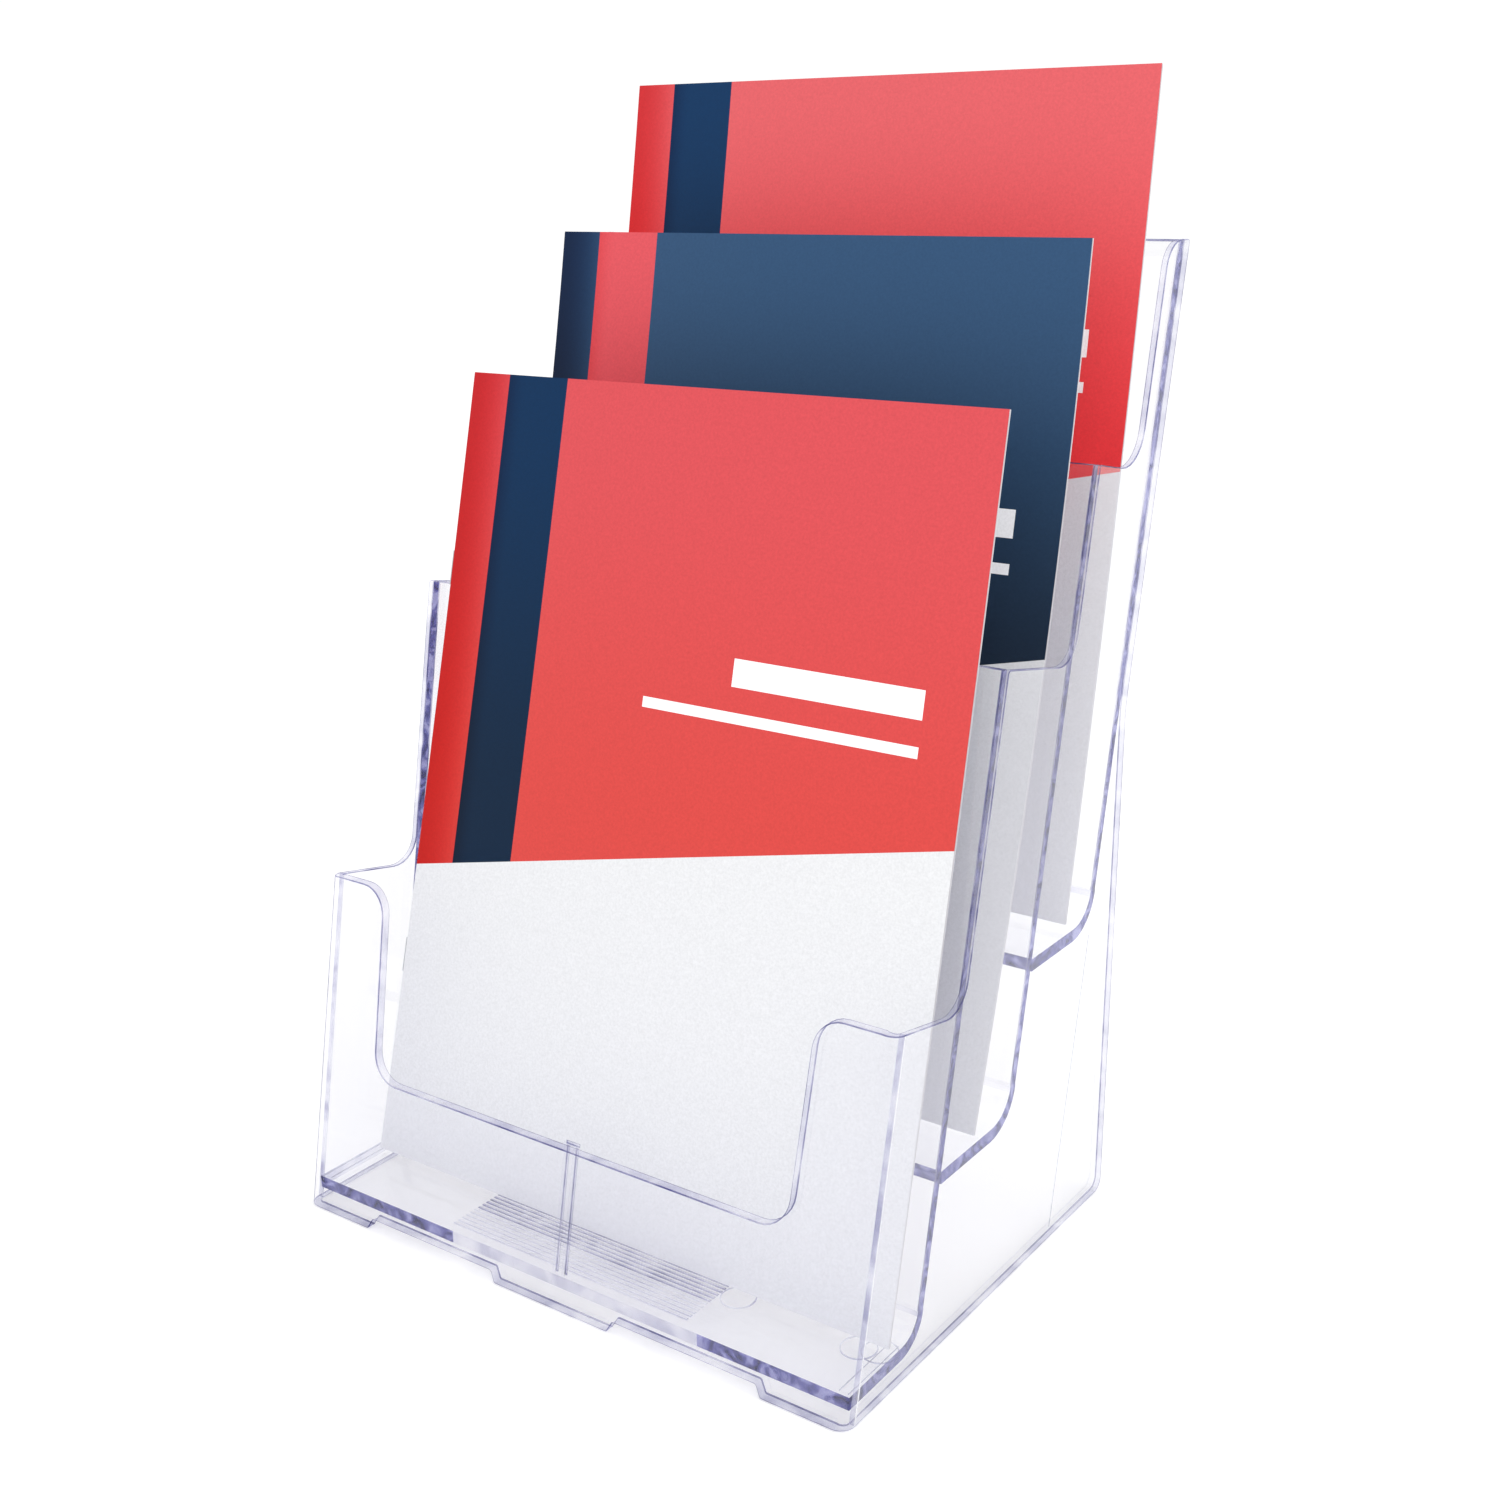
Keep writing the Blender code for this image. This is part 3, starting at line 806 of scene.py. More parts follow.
@dataclass
class FrontWall(Moulding):
    """The front wall: low cut, skirt on three feet, and ends that turn the rack's corners in a round."""

    skirt_z: float = 3.5 * MM
    centre_foot_half: float = 23.5 * MM
    corner_foot_start: float = 79.5 * MM
    foot_slope: float = 2.0 * MM
    foot_radius: float = 0.8 * MM
    corner_cuts: int = 6
    end_land: float = 0.3 * MM
    painted_band_turn: tuple[float, float] = (0.5, 1.05)

    def unrolled(self, z: float) -> float:
        """Half the width of the sheet at a height, laid flat with its corners unrolled."""
        return self.sizes.outer(z) + self.sizes.corner_radius * (math.pi / 2 - 1)

    def bend(self, bm: bmesh.types.BMesh) -> None:
        """Fold a flat sheet drawn as (x, height, depth) round the rack's corners and lean it back.

        Args:
            bm: The sheet. Its depth runs from 0 at the outside to the wall's thickness.
        """
        s = self.sizes
        for vert in bm.verts:
            x, z, depth = abs(vert.co.x), vert.co.y, vert.co.z / s.wall
            straight = s.outer(z) - s.corner_radius
            turn = min(max((x - straight) / s.corner_radius, 0.0), math.pi / 2)
            thick = depth * (s.wall_run + (s.side - s.wall_run) * turn / (math.pi / 2))
            reach = s.corner_radius - thick
            over = min(x, straight) + reach * math.sin(turn)
            y = s.run * z + s.corner_radius - reach * math.cos(turn)
            vert.co = (math.copysign(over, vert.co.x), y + s.shift, z)

    def build(self) -> bpy.types.Object:
        """Build the wall.

        Returns:
            The piece.
        """
        s = self.sizes
        low = s.front_post - s.cut_depth
        half = [
            (self.centre_foot_half, 0.0, self.foot_radius),
            (self.centre_foot_half + self.foot_slope, self.skirt_z, self.foot_radius),
            (self.corner_foot_start, self.skirt_z, self.foot_radius),
            (self.corner_foot_start + self.foot_slope, 0.0, self.foot_radius),
            (self.unrolled(0), 0.0, 0.0),
            (self.unrolled(s.front_post), s.front_post - s.corner_radius * math.sin(2 * s.lean) / 2, 0.0),
            (s.outer(s.front_post) - s.corner_radius, s.front_post, 0.0),
            (s.cut_half_high, s.front_post, s.cut_radius),
            (s.cut_half_low, low, s.cut_radius),
        ]
        bm = flat_outline(half + [(-x, y, radius) for x, y, radius in reversed(half)])
        thicken(bm, s.wall)
        for side in Side:
            cuts = []
            for step in range(self.corner_cuts):
                x = s.outer(0) - s.corner_radius * (1 - step / self.corner_cuts * math.pi / 2)
                cuts.append(Vector((side.value * x, 0, 0)))
            slice_across(bm, cuts, Vector((side.value, -s.splay, 0)))
        end = self.unrolled(0) - self.end_land

        def off_the_ends(edge: bmesh.types.BMEdge) -> bool:
            """Tell whether an edge is off the sheet's ends, which stay square against the side panels."""
            return not all(abs(v.co.x) > end + s.splay * v.co.y for v in edge.verts)

        mark(bm, Kind.RIM, lambda face: abs(face.normal.z) < 0.5)
        soften(bm, s.arris, chosen=off_the_ends)
        for face in bm.faces:
            middle = face.calc_center_median()
            turn = (abs(middle.x) - s.outer(middle.y)) / s.corner_radius + 1
            if turn > 0:
                face.smooth = True
            # Painted reflection: on the left corner only, a band of the outer face takes the arris film.
            if middle.x < 0 and face.normal.z < -0.9 and self.painted_band_turn[0] < turn < self.painted_band_turn[1]:
                face.material_index = Kind.ARRIS.value
        self.bend(bm)
        return self.finish(bm, "front_wall_moulded", "front_wall")


@dataclass
class InnerWall(Moulding):
    """A leaning wall between the side panels, with or without a low cut."""

    name: str = "middle_wall"
    foot_y: float = 0.0
    start_z: float = 0.0
    top_z: float = 0.0
    has_cut: bool = True

    def build(self) -> bpy.types.Object:
        """Build the wall.

        Returns:
            The piece.
        """
        s = self.sizes
        rise = 1 / math.cos(s.lean)
        half = [
            (s.inner(self.start_z), self.start_z * rise, 0.0),
            (s.inner(self.top_z), self.top_z * rise, 0.0),
        ]
        if self.has_cut:
            low = (self.top_z - s.cut_depth) * rise
            half.append((s.cut_half_high, self.top_z * rise, s.cut_radius))
            half.append((s.cut_half_low, low, s.cut_radius))
        bm = flat_outline(half + [(-x, y, radius) for x, y, radius in reversed(half)])
        thicken(bm, s.wall)
        mark(bm, Kind.RIM, lambda face: abs(face.normal.z) < 0.5)
        ends, foot = s.inner(0) - MM, (self.start_z + MM) * rise
        mark(bm, Kind.END, lambda face: abs(face.normal.x) > 0.9 and abs(face.calc_center_median().x) > ends)
        # The foot runs on from the heel below it, so no edge shows there.
        mark(bm, Kind.CLEAR, lambda face: face.normal.y < -0.9 and face.calc_center_median().y < foot)
        soften(bm, s.arris, chosen=lambda edge: not all(v.co.y < foot for v in edge.verts))
        place(bm, s.wall_matrix(self.foot_y))
        return self.finish(bm, f"{self.name}_moulded", self.name)


@dataclass
class PocketFloor(Moulding):
    """A pocket's floor, whose rear curls up in a heel and runs on into the wall behind."""

    name: str = "front_floor"
    front_y: float = 0.0
    wall_y: float = 0.0
    top_z: float = 0.0
    radius: float = 9.0 * MM
    painted_band_spans: tuple[tuple[float, float], ...] = ((-120.0, 120.0),)
    heel_steps: int = 8
    rough_half: float = 1.0

    def heel_centre(self) -> Vector:
        """Find the middle of the heel's curve.

        Returns:
            The point as (depth, height).
        """
        s = self.sizes
        z = self.top_z + self.radius
        return Vector((self.wall_y + s.run * z - self.radius / math.cos(s.lean), z))

    def join_z(self) -> float:
        """Height at which the heel becomes the wall's front face."""
        s = self.sizes
        return self.heel_centre().y - self.radius * math.sin(s.lean)

    def build(self) -> bpy.types.Object:
        """Build the floor: a flat strip, then the heel spun up from its rear end.

        Returns:
            The piece.
        """
        s = self.sizes
        centre = self.heel_centre()
        start = self.front_y + s.wall_run + s.seam + s.run * self.top_z
        bm = bmesh.new()
        low = self.top_z - s.floor
        section = [(start, low), (centre.x, low), (centre.x, self.top_z), (start, self.top_z)]
        verts = [bm.verts.new((y, z, 0.0)) for y, z in section]
        bm.faces.new(verts)
        thicken(bm, 2 * self.rough_half)
        place(bm, Matrix.Translation((0, 0, -self.rough_half)))
        rear = [face for face in bm.faces if face.normal.x > 0.9]
        sweep = math.pi / 2 - s.lean
        bmesh.ops.spin(
            bm, geom=rear + [e for f in rear for e in f.edges] + [v for f in rear for v in f.verts],
            cent=(centre.x, centre.y, 0), axis=(0, 0, 1), angle=sweep, steps=self.heel_steps, dvec=(0, 0, 0),
            use_merge=False, use_normal_flip=False, use_duplicate=False,
        )
        bmesh.ops.delete(bm, geom=[f for f in rear if f.is_valid], context="FACES_ONLY")
        bmesh.ops.remove_doubles(bm, verts=bm.verts, dist=WELD)
        for vert in bm.verts:
            arm = Vector((vert.co.x - centre.x, vert.co.y - centre.y))
            if arm.x > WELD and arm.length > self.radius + MM:
                turn = math.atan2(arm.x, -arm.y)
                length = self.radius + s.floor + (s.wall - s.floor) * turn / sweep
                vert.co.x = centre.x + arm.x / arm.length * length
                vert.co.y = centre.y + arm.y / arm.length * length
        bmesh.ops.recalc_face_normals(bm, faces=bm.faces)
        for face in bm.faces:
            if abs(face.normal.z) < 0.5 and face.calc_center_median().x > centre.x + WELD:
                face.smooth = True
        place(bm, s.side_matrix())
        for vert in bm.verts:
            vert.co.x = math.copysign(s.inner(vert.co.z), vert.co.x)
        limits = [limit * MM for span in self.painted_band_spans for limit in span]
        cuts = [Vector((limit, 0, 0)) for limit in limits if abs(limit) < s.inner(0)]
        slice_across(bm, cuts, Vector((1, 0, 0)))
        bmesh.ops.recalc_face_normals(bm, faces=bm.faces)
        # Painted light: only the right-hand ends take the deep light-piped film, and the left-hand ends the
        # pale rim film.
        mark(bm, Kind.END, lambda face: face.normal.x > 0.9)
        mark(bm, Kind.RIM, lambda face: face.normal.x < -0.9 or face.normal.y < -0.9)
        # Painted light: the nose takes the light-piped end film only within the spans given.
        nose = start + s.shift + MM

        def lit(face: bmesh.types.BMFace) -> bool:
            """Tell whether a face of the floor's nose lies in a span of painted light."""
            middle = face.calc_center_median()
            inside = any(low * MM < middle.x < high * MM for low, high in self.painted_band_spans)
            return face.normal.y < -0.9 and middle.y < nose and inside

        mark(bm, Kind.END, lit)
        return self.finish(bm, f"{self.name}_moulded", self.name)


@dataclass
class DividerSlot(Moulding):
    """Two ribs and a cap inside the front wall, where a loose divider would slide in."""

    rib_width: float = 1.2 * MM
    rib_depth: float = 1.8 * MM
    spacing: float = 3.7 * MM
    cap_width: float = 5.6 * MM
    cap_height: float = 1.5 * MM
    cap_gap: float = 0.3 * MM
    rounding: float = 0.35 * MM

    def bar(self, name: str, node: str, x: float, width: float, low: float, high: float) -> bpy.types.Object:
        """Build one straight rib or cap on the back of the front wall.

        Args:
            name: The piece's name.
            node: The CAD node it replaces.
            x: Its middle, sideways.
            width: Its width.
            low: Where it starts up the wall.
            high: Where it ends up the wall.

        Returns:
            The piece.
        """
        s = self.sizes
        bm = bmesh.new()
        middle = (x, (low + high) / 2, s.wall + s.seam + self.rib_depth / 2)
        add_block(bm, middle, (width, high - low, self.rib_depth))
        mark(bm, Kind.RIM, lambda face: face.normal.z > 0.5)
        soften(bm, self.rounding, chosen=lambda edge: all(v.co.z > s.wall + MM for v in edge.verts))
        place(bm, s.wall_matrix(s.front_wall_y))
        return self.finish(bm, name, node)

    def build(self) -> list[bpy.types.Object]:
        """Build both ribs and the cap.

        Returns:
            The three pieces.
        """
        s = self.sizes
        rise = 1 / math.cos(s.lean)
        low = (s.front_floor_z + s.seam) * rise + (s.wall + s.seam + self.rib_depth) * s.run
        top = (s.front_post - s.cut_depth) * rise
        made = []
        for side in Side:
            node = f"divider_rib_{side.name.lower()}"
            x = side.value * self.spacing / 2
            made.append(self.bar(f"{node}_moulded", node, x, self.rib_width, low, top))
        cap = (top + self.cap_gap, top + self.cap_height)
        made.append(self.bar("divider_rib_cap_moulded", "divider_rib_cap", 0.0, self.cap_width, *cap))
        return made


@dataclass
class FloorGrip(Moulding):
    """Fine ribs across the front floor that hold a booklet's foot, and the round marks the ejectors leave."""

    width: float = 97.5 * MM
    ribs: int = 12
    pitch: float = 1.9 * MM
    rise: float = 0.3 * MM
    start_y: float = 7.8 * MM
    ridge_share: float = 0.55
    ridge_round: float = 0.25 * MM
    mark_spots: tuple[tuple[float, float], ...] = ((54.4, 26.7), (99.0, 26.0), (105.2, 27.8))
    mark_radius: float = 5.6 * MM
    mark_wire: float = 0.22 * MM
    mark_rise: float = 0.1 * MM

    def build(self) -> bpy.types.Object:
        """Build the ribbed patch as one run of low rounded ridges.

        Returns:
            The piece.
        """
        s = self.sizes
        base = s.front_floor_z + s.seam
        bm = bmesh.new()
        for rib in range(self.ribs):
            y = self.start_y + (rib + 0.5) * self.pitch
            size = (self.width, self.pitch * self.ridge_share, 2 * self.rise)
            add_block(bm, (0, y, base + self.rise), size)
        soften(bm, self.ridge_round, chosen=lambda edge: all(v.co.z > base + self.rise for v in edge.verts))
        halfway = self.start_y + self.ribs / 2 * self.pitch
        for face in bm.faces:
            in_front = face.calc_center_median().y < halfway
            rounded = face.material_index == Kind.ARRIS.value
            if rounded and in_front or face.normal.z > 0.99 and not in_front:
                face.material_index = Kind.RIM.value
        place(bm, Matrix.Translation((0, s.shift, 0)))
        return self.finish(bm, "floor_grip_moulded", "floor_grip")

    def ejector_marks(self) -> bpy.types.Object:
        """Build the faint raised rings that ejector pins leave on the front floor.

        Returns:
            The piece.
        """
        s = self.sizes
        bm = bmesh.new()
        done: set[bmesh.types.BMVert] = set()
        upright = Matrix.Translation((self.mark_radius, 0, 0)) @ Matrix.Rotation(math.pi / 2, 4, "X")
        for x, y in self.mark_spots:
            wire = bmesh.ops.create_circle(bm, cap_ends=False, segments=6, radius=self.mark_wire)["verts"]
            bmesh.ops.transform(bm, verts=wire, matrix=upright)
            edges = [edge for edge in bm.edges if all(v in wire for v in edge.verts)]
            bmesh.ops.spin(
                bm, geom=wire + edges, cent=(0, 0, 0), axis=(0, 0, 1), angle=2 * math.pi, steps=32,
                dvec=(0, 0, 0), use_merge=True, use_normal_flip=False, use_duplicate=False,
            )
            ring = [vert for vert in bm.verts if vert not in done]
            spot = Vector((x * MM, y * MM + s.shift, s.front_floor_z + self.mark_rise))
            bmesh.ops.transform(bm, verts=ring, matrix=Matrix.Translation(spot))
            done.update(ring)
        for face in bm.faces:
            face.smooth = True
            face.material_index = Kind.RIM.value
        return self.finish(bm, "ejector_marks")


@dataclass
class SeamLines(Moulding):
    """Fine raised lines that the mould's inserts leave, beside the front floor and down the side panels."""

    width: float = 0.3 * MM
    height: float = 0.16 * MM
    bead_from: float = 6.0 * MM
    bead_to: float = 33.0 * MM
    bead_insets: tuple[float, float] = (1.0 * MM, 4.2 * MM)
    ridge_top: float = 98.0 * MM

    def floor_beads(self) -> bpy.types.Object:
        """Build two fine beads along each end of the front floor.

        Returns:
            The piece.
        """
        s = self.sizes
        base = s.front_floor_z + s.seam
        bm = bmesh.new()
        for side in Side:
            for inset in self.bead_insets:
                x = side.value * (s.inner(base) - inset)
                y = (self.bead_from + self.bead_to) / 2 + s.shift
                size = (self.width, self.bead_to - self.bead_from, self.height)
                add_block(bm, (x, y, base + self.height / 2), size)
        return self.raised(bm, "floor_seam_beads")

    def side_ridges(self) -> bpy.types.Object:
        """Build one fine ridge down the inside of each side panel, in line with the back wall's rear face.

        Returns:
            The piece.
        """
        s = self.sizes
        length = self.ridge_top / math.cos(s.lean)
        bm = bmesh.new()
        for side in Side:
            add_block(bm, (side.value, length / 2 + MM, 0), (1.0, length, self.width))
        place(bm, s.wall_matrix(s.back_wall_back_y))
        # The blocks stand a metre out, so each end is then drawn in to the panel or to the ridge's own face.
        for vert in bm.verts:
            raised = self.height if abs(vert.co.x) < 1 else 0.0
            vert.co.x = math.copysign(s.inner(vert.co.z) - raised, vert.co.x)
        return self.raised(bm, "side_seam_ridges")

    def raised(self, bm: bmesh.types.BMesh, name: str) -> bpy.types.Object:
        """Round a set of lines and finish it as an added piece of the moulding.

        Args:
            bm: The lines.
            name: The piece's name.

        Returns:
            The piece.
        """
        soften(bm, self.height / 3)
        return self.finish(bm, name)


# ---------------------------------------------------------------------------------------------- the booklets


@dataclass
class Booklet:
    """A folded, stapled booklet that stands in its pocket and bows back against the wall."""

    tier: Tier
    cover: bpy.types.Material
    bare: bpy.types.Material
    pages: bpy.types.Material
    wire: bpy.types.Material
    sizes: RackSizes
    offset: float
    foot_y: float
    floor_z: float
    lift: float
    foot_lean: float
    head_lean: float
    cover_slot: str
    width: float = 212.7 * MM
    height: float = 276.2 * MM
    stock: float = 0.3 * MM
    stock_edge: float = 0.2 * MM
    thick: float = 1.8 * MM
    trim: float = 0.6 * MM
    leaves: int = 4
    leaf: float = 0.1 * MM
    open_edge: float = 1.0 * MM
    fold_radius: float = 0.75 * MM
    inner_fold_radius: float = 0.5 * MM
    page_gap: float = 0.25 * MM
    slices: int = 14

    @property
    def body(self) -> str:
        """Name of the CAD body the booklet rides on."""
        return f"{self.tier.value}_booklet"

    def bowed(self, up: float) -> tuple[Vector, float]:
        """Give the point (y, z) and the lean at a distance up the booklet.

        Args:
            up: The distance from the foot.

        Returns:
            The point from the foot, and the lean there.
        """
        lean = self.foot_lean + (self.head_lean - self.foot_lean) * up / self.height
        half = (lean - self.foot_lean) / 2
        chord = up * math.sin(half) / half if half else up
        return Vector((math.sin(self.foot_lean + half), math.cos(self.foot_lean + half))) * chord, lean

    def lay(self, bm: bmesh.types.BMesh) -> None:
        """Keep each face's place on the flat sheet as its UV, then bow the sheet and stand it in its pocket.

        Args:
            bm: The sheet, flat and upright, with its foot at z = 0 and its front at y = 0.
        """
        layer = bm.loops.layers.uv.new("sheet")
        for face in bm.faces:
            for loop in face.loops:
                x, _y, z = loop.vert.co
                loop[layer].uv = (x / self.width + 0.5, z / self.height)
        rise = self.floor_z + self.lift + self.thick * math.sin(self.foot_lean)
        for vert in bm.verts:
            spot, lean = self.bowed(vert.co.z)
            depth = vert.co.y
            vert.co.x += self.offset
            vert.co.y = self.foot_y + self.sizes.shift + spot.x + depth * math.cos(lean)
            vert.co.z = rise + spot.y - depth * math.sin(lean)

    def upright(
        self, outline: list[tuple[float, float, float]], low: float, high: float
    ) -> bmesh.types.BMesh:
        """Raise a plan outline into an upright sheet with cuts across it.

        Args:
            outline: Corners in plan as (x, y, radius).
            low: The height it starts at.
            high: The height it ends at.

        Returns:
            The sheet's bmesh.
        """
        bm = flat_outline(outline)
        thicken(bm, high - low)
        place(bm, Matrix.Translation((0, 0, low)))
        cuts = [Vector((0, 0, low + (high - low) * step / self.slices)) for step in range(1, self.slices)]
        slice_across(bm, cuts, Vector((0, 0, 1)))
        return bm

    def build_cover(self) -> bpy.types.Object:
        """Build the folded cover, printed outside and bare within.

        Returns:
            The piece.
        """
        half, t, card = self.width / 2, self.thick, self.stock
        inside, tip = -half + card, self.stock_edge - self.sizes.seam
        spread = self.open_edge - t
        outline = [
            (-half, 0.0, self.fold_radius), (half, 0.0, 0.0),
            (half, tip, 0.0), (inside, card, self.inner_fold_radius),
            (inside, t - card, self.inner_fold_radius), (half, t - tip + spread, 0.0),
            (half, t + spread, 0.0), (-half, t, self.fold_radius),
        ]
        bm = self.upright(outline, 0.0, self.height)
        for face in bm.faces:
            middle = face.calc_center_median()
            outside = face.normal.y < -0.7 and middle.y < card / 2
            spine = face.normal.x < -0.3 and middle.x < inside
            front_cut = face.normal.x > 0.7 and middle.y < t / 2
            side = Paper.PRINTED if outside or spine or front_cut else Paper.BARE
            face.material_index = side.value
            face.smooth = abs(face.normal.z) < 0.5
        for edge in bm.edges:
            edge.smooth = edge.calc_face_angle(0.0) < SMOOTH_BELOW
        self.lay(bm)
        name = f"{self.body}_cover"
        obj = piece_from(bm, f"{name}_folded", self.body, [self.cover, self.bare])
        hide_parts(name)
        return obj

    def build_pages(self) -> bpy.types.Object:
        """Build the inner leaves, fanned by a hair at the open edge.

        Returns:
            The piece.
        """
        left = -self.width / 2 + 2 * self.stock
        whole = bmesh.new()
        room = self.thick - 2 * self.stock - self.leaf
        for leaf in range(self.leaves):
            share = leaf / (self.leaves - 1)
            near = self.stock + self.page_gap + (room - 2 * self.page_gap) * share
            far = self.stock_edge + (self.open_edge - 2 * self.stock_edge - self.leaf) * share
            right = self.width / 2 - self.trim * (0.4 + 0.6 * (leaf % 2))
            top = self.height - self.trim * (0.3 + 0.5 * ((leaf + 1) % 2))
            outline = [
                (left, near, 0.0), (right, far, 0.0),
                (right, far + self.leaf, 0.0), (left, near + self.leaf, 0.0),
            ]
            sheet = self.upright(outline, self.trim * 0.5, top)
            mesh = bpy.data.meshes.new("leaf")
            sheet.to_mesh(mesh)
            sheet.free()
            whole.from_mesh(mesh)
            bpy.data.meshes.remove(mesh)
        self.lay(whole)
        obj = piece_from(whole, f"{self.body}_leaves", self.body, [self.pages])
        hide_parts(f"{self.body}_pages")
        return obj

    def build(self) -> None:
        """Build the booklet's sheets and dress its staples."""
        self.build_cover()
        self.build_pages()
        for end in ("foot", "head"):
            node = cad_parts[f"{self.body}_{end}_staple"]
            dress(node, self.wire)


def dress(node: bpy.types.Object, finish: bpy.types.Material) -> None:
    """Give a CAD node that stays in view its finish, without touching its mesh.

    Args:
        node: The CAD node's object.
        finish: The material.
    """
    if not node.material_slots:
        node.data.materials.append(finish)
    for slot in node.material_slots:
        slot.link = "OBJECT"
        slot.material = finish
    LOG.info("%s: kept from the CAD, in %s", node.name, finish.name)


# ---------------------------------------------------------------------------------------------- the studio


@dataclass
class Studio:
    """A white light table, soft light from all round with two large lamps, and the camera."""

    sizes: RackSizes
    eye: tuple[float, float, float] = (371.46 * MM, -390.59 * MM, 348.52 * MM)
    azimuth: float = math.radians(35.171)
    elevation: float = math.radians(12.922)
    roll: float = math.radians(-0.782)
    focal_share: float = 1908.1 / 1500
    shift: tuple[float, float] = (-40 / 1500, -150 / 1500)
    sensor: float = 36.0
    sky: float = 1.04
    table_half: float = 6.0
    table_drop: float = 0.2 * MM
    aim: tuple[float, float, float] = (0.0, 0.0, 0.15)
    clear_layers: int = 32

    def camera(self) -> None:
        """Place the camera."""
        data = bpy.data.cameras.new("camera")
        data.sensor_width = self.sensor
        data.lens = self.sensor * self.focal_share
        data.shift_x, data.shift_y = self.shift
        data.clip_start, data.clip_end = 0.01, 20.0
        obj = bpy.data.objects.new("camera", data)
        bpy.context.scene.collection.objects.link(obj)
        back = Vector((
            math.sin(self.azimuth) * math.cos(self.elevation),
            -math.cos(self.azimuth) * math.cos(self.elevation),
            math.sin(self.elevation),
        ))
        turn = (-back).to_track_quat("-Z", "Y").to_matrix() @ Matrix.Rotation(self.roll, 3, "Z")
        eye = Vector(self.eye) + Vector((0, self.sizes.shift, 0))
        obj.matrix_world = Matrix.Translation(eye) @ turn.to_4x4()
        bpy.context.scene.camera = obj

    def lamp(self, name: str, at: tuple[float, float, float], size: float, power: float) -> None:
        """Hang one soft lamp that faces the rack.

        Args:
            name: The lamp's name.
            at: Its place.
            size: Its side.
            power: Its power in watts.
        """
        data = bpy.data.lights.new(name, "AREA")
        data.size, data.energy = size, power
        obj = bpy.data.objects.new(name, data)
        bpy.context.scene.collection.objects.link(obj)
        turn = (Vector(self.aim) - Vector(at)).to_track_quat("-Z", "Y").to_matrix()
        obj.matrix_world = Matrix.Translation(at) @ turn.to_4x4()

    def build(self) -> None:
        """Lay the floor, light it and place the camera."""
        bm = bmesh.new()
        bmesh.ops.create_grid(bm, x_segments=4, y_segments=4, size=self.table_half)
        place(bm, Matrix.Translation((0, 0, -self.table_drop)))
        mesh = bpy.data.meshes.new("studio_floor")
        bm.to_mesh(mesh)
        bm.free()
        mesh.materials.append(LightTable().build())
        floor = bpy.data.objects.new("studio_floor", mesh)
        bpy.context.scene.collection.objects.link(floor)
        world = bpy.data.worlds.new("studio")
        bpy.context.scene.world = world
        world.use_nodes = True
        background = world.node_tree.nodes["Background"]
        background.inputs["Color"].default_value = WHITE
        background.inputs["Strength"].default_value = self.sky
        self.lamp("key", at=(1.25, -0.95, 1.0), size=1.2, power=5.5)
        self.lamp("fill", at=(1.6, 0.4, 1.1), size=1.2, power=4.0)
        bpy.context.scene.view_settings.view_transform = "Standard"
        bpy.context.scene.cycles.transparent_max_bounces = self.clear_layers
        self.camera()


# ---------------------------------------------------------------------------------------------- assembly


def build_rack(sizes: RackSizes) -> None:
    """Build the clear moulding, piece by piece.

    Args:
        sizes: The rack's sizes.
    """
    # The edge films are painted light and reflection in the plastic's own violet tone.
    rim = EdgeLight("polystyrene_moulded_rim", pale="F8F8FC", middle="ECECF5", deep="D4D4E5", share=0.15)
    arris = EdgeLight("polystyrene_rounded_arris", pale="D0D0E2", middle="A2A2C4", deep="5E5E94", share=0.3)
    end = EdgeLight(
        "polystyrene_light_piped_end", pale="A0A0D2", middle="5656A2", deep="18185C", share=0.4,
        patch_mm=8.0, swirl=2.0,
    )
    finishes = [finish.build() for finish in (ClearMoulding(), rim, arris, end)]
    shared = {"sizes": sizes, "finishes": finishes}
    for side in Side:
        SidePanel(side=side, **shared).build()
    FrontWall(**shared).build()
    floors = [
        PocketFloor(name="front_floor", front_y=sizes.front_wall_y, wall_y=sizes.middle_wall_y,
                    top_z=sizes.front_floor_z, radius=sizes.heel_radius,
                    painted_band_spans=((-120.0, -46.0), (55.0, 120.0)), **shared),
        PocketFloor(name="middle_floor", front_y=sizes.middle_wall_y, wall_y=sizes.upper_wall_y,
                    top_z=sizes.middle_floor_z, radius=sizes.deep_heel_radius, **shared),
        PocketFloor(name="upper_floor", front_y=sizes.upper_wall_y,
                    wall_y=sizes.back_wall_back_y - sizes.wall_run,
                    top_z=sizes.upper_floor_z, radius=sizes.deep_heel_radius, **shared),
    ]
    tops = (("middle_wall", sizes.middle_post), ("upper_wall", sizes.upper_post), ("back_wall", sizes.height))
    for floor, (name, top) in zip(floors, tops):
        floor.build()
        start = floor.join_z() + sizes.seam
        cut = name != "back_wall"
        InnerWall(name=name, foot_y=floor.wall_y, start_z=start, top_z=top, has_cut=cut, **shared).build()
    DividerSlot(**shared).build()
    grip = FloorGrip(**shared)
    grip.build()
    grip.ejector_marks()
    seams = SeamLines(**shared)
    seams.floor_beads()
    seams.side_ridges()


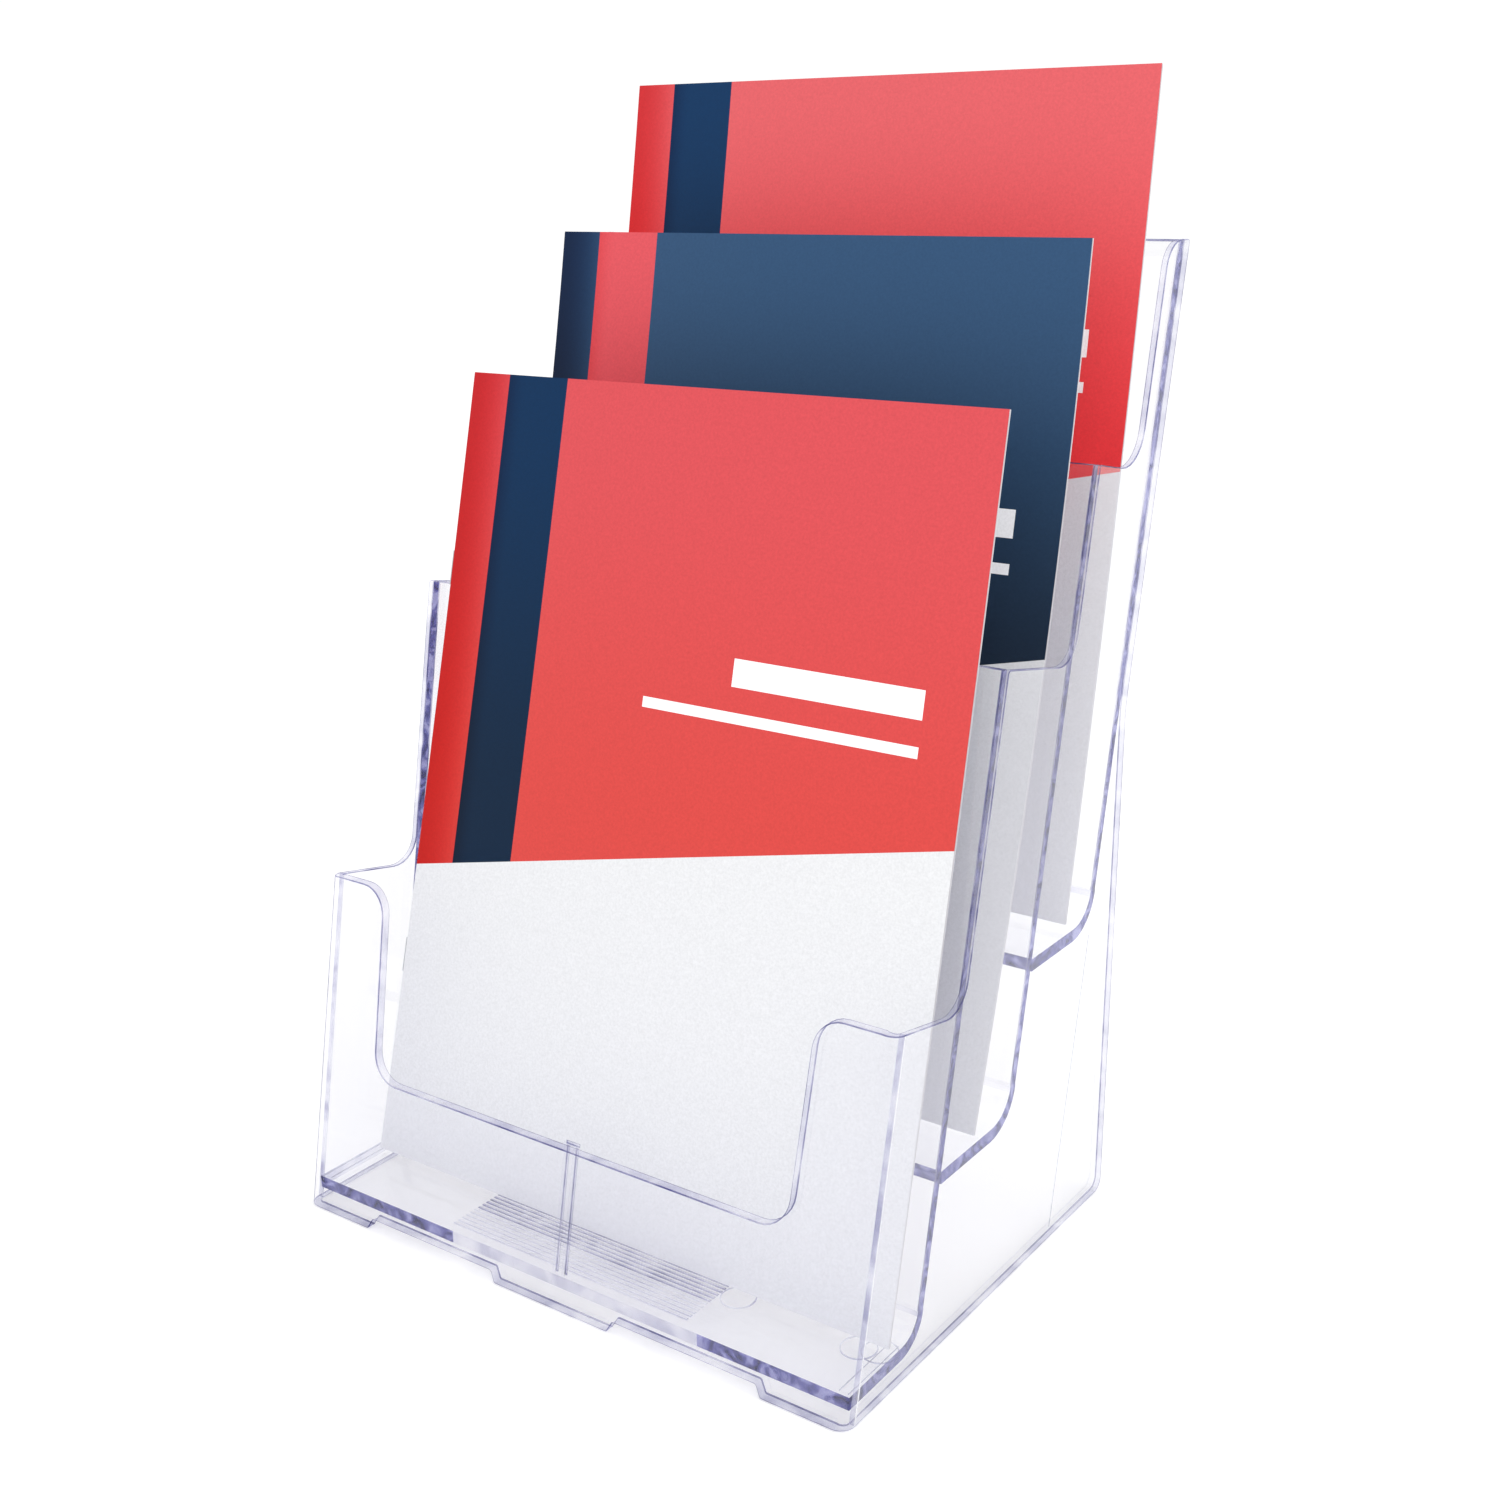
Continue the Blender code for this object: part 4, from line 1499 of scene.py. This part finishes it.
def build_booklets(sizes: RackSizes) -> None:
    """Build the three booklets.

    Args:
        sizes: The rack's sizes.
    """
    red = PrintedCover(
        "coated_cover_offset_red",
        ground="D65056", ground_foot_shade="D64944", stripe="032E54", stripe_foot_shade="06223C",
    )
    navy = PrintedCover(
        "coated_cover_offset_navy",
        ground="325174", ground_foot_shade="1C2838", stripe="DE565E", stripe_foot_shade="C8303A",
    )
    # Painted light: the upper booklet's cover is the lower's red, painted brighter to make up for the shade
    # it gets in its pocket.
    red_lit_copy = PrintedCover(
        "coated_cover_offset_red_lit_copy",
        ground="DE6166", ground_foot_shade="EF383D", stripe="0B345C", stripe_foot_shade="06223C",
    )
    shared = {
        "sizes": sizes,
        # The glow of the cover stock and of the pages is painted light that brightens them in the shade
        # between the booklets.
        "bare": BarePaper("cover_stock_unprinted", "D2D0D3", fibre_mm=1.6, roughness=0.55, glow=0.14).build(),
        "pages": BarePaper("page_paper_guillotined", "DCDCE0", fibre_mm=0.8, streak=6.0, glow=0.02).build(),
        "wire": DrawnWire().build(),
    }
    Booklet(
        Tier.LOWER, cover=red.build(), cover_slot="red_cover_stock",
        offset=1.6 * MM, foot_y=28.0 * MM, floor_z=sizes.front_floor_z, lift=1.25 * MM,
        foot_lean=math.radians(14.7), head_lean=math.radians(13.2), **shared,
    ).build()
    Booklet(
        Tier.MIDDLE, cover=navy.build(), cover_slot="navy_cover_stock",
        offset=2.7 * MM, foot_y=75.3 * MM, floor_z=sizes.middle_floor_z, lift=0.5 * MM,
        foot_lean=math.radians(18.8), head_lean=math.radians(9.8), **shared,
    ).build()
    Booklet(
        Tier.UPPER, cover=red_lit_copy.build(), cover_slot="red_cover_stock",
        offset=3.8 * MM, foot_y=132.1 * MM, floor_z=sizes.upper_floor_z, lift=1.5 * MM,
        foot_lean=math.radians(14.0), head_lean=math.radians(9.2), **shared,
    ).build()


def main() -> None:
    """Build the rack, its booklets and the studio, in that order."""
    logging.basicConfig(level=logging.INFO, format="%(name)s: %(message)s")
    build_rack(SIZES)
    build_booklets(SIZES)
    Studio(SIZES).build()


if __name__ == "__main__":
    main()
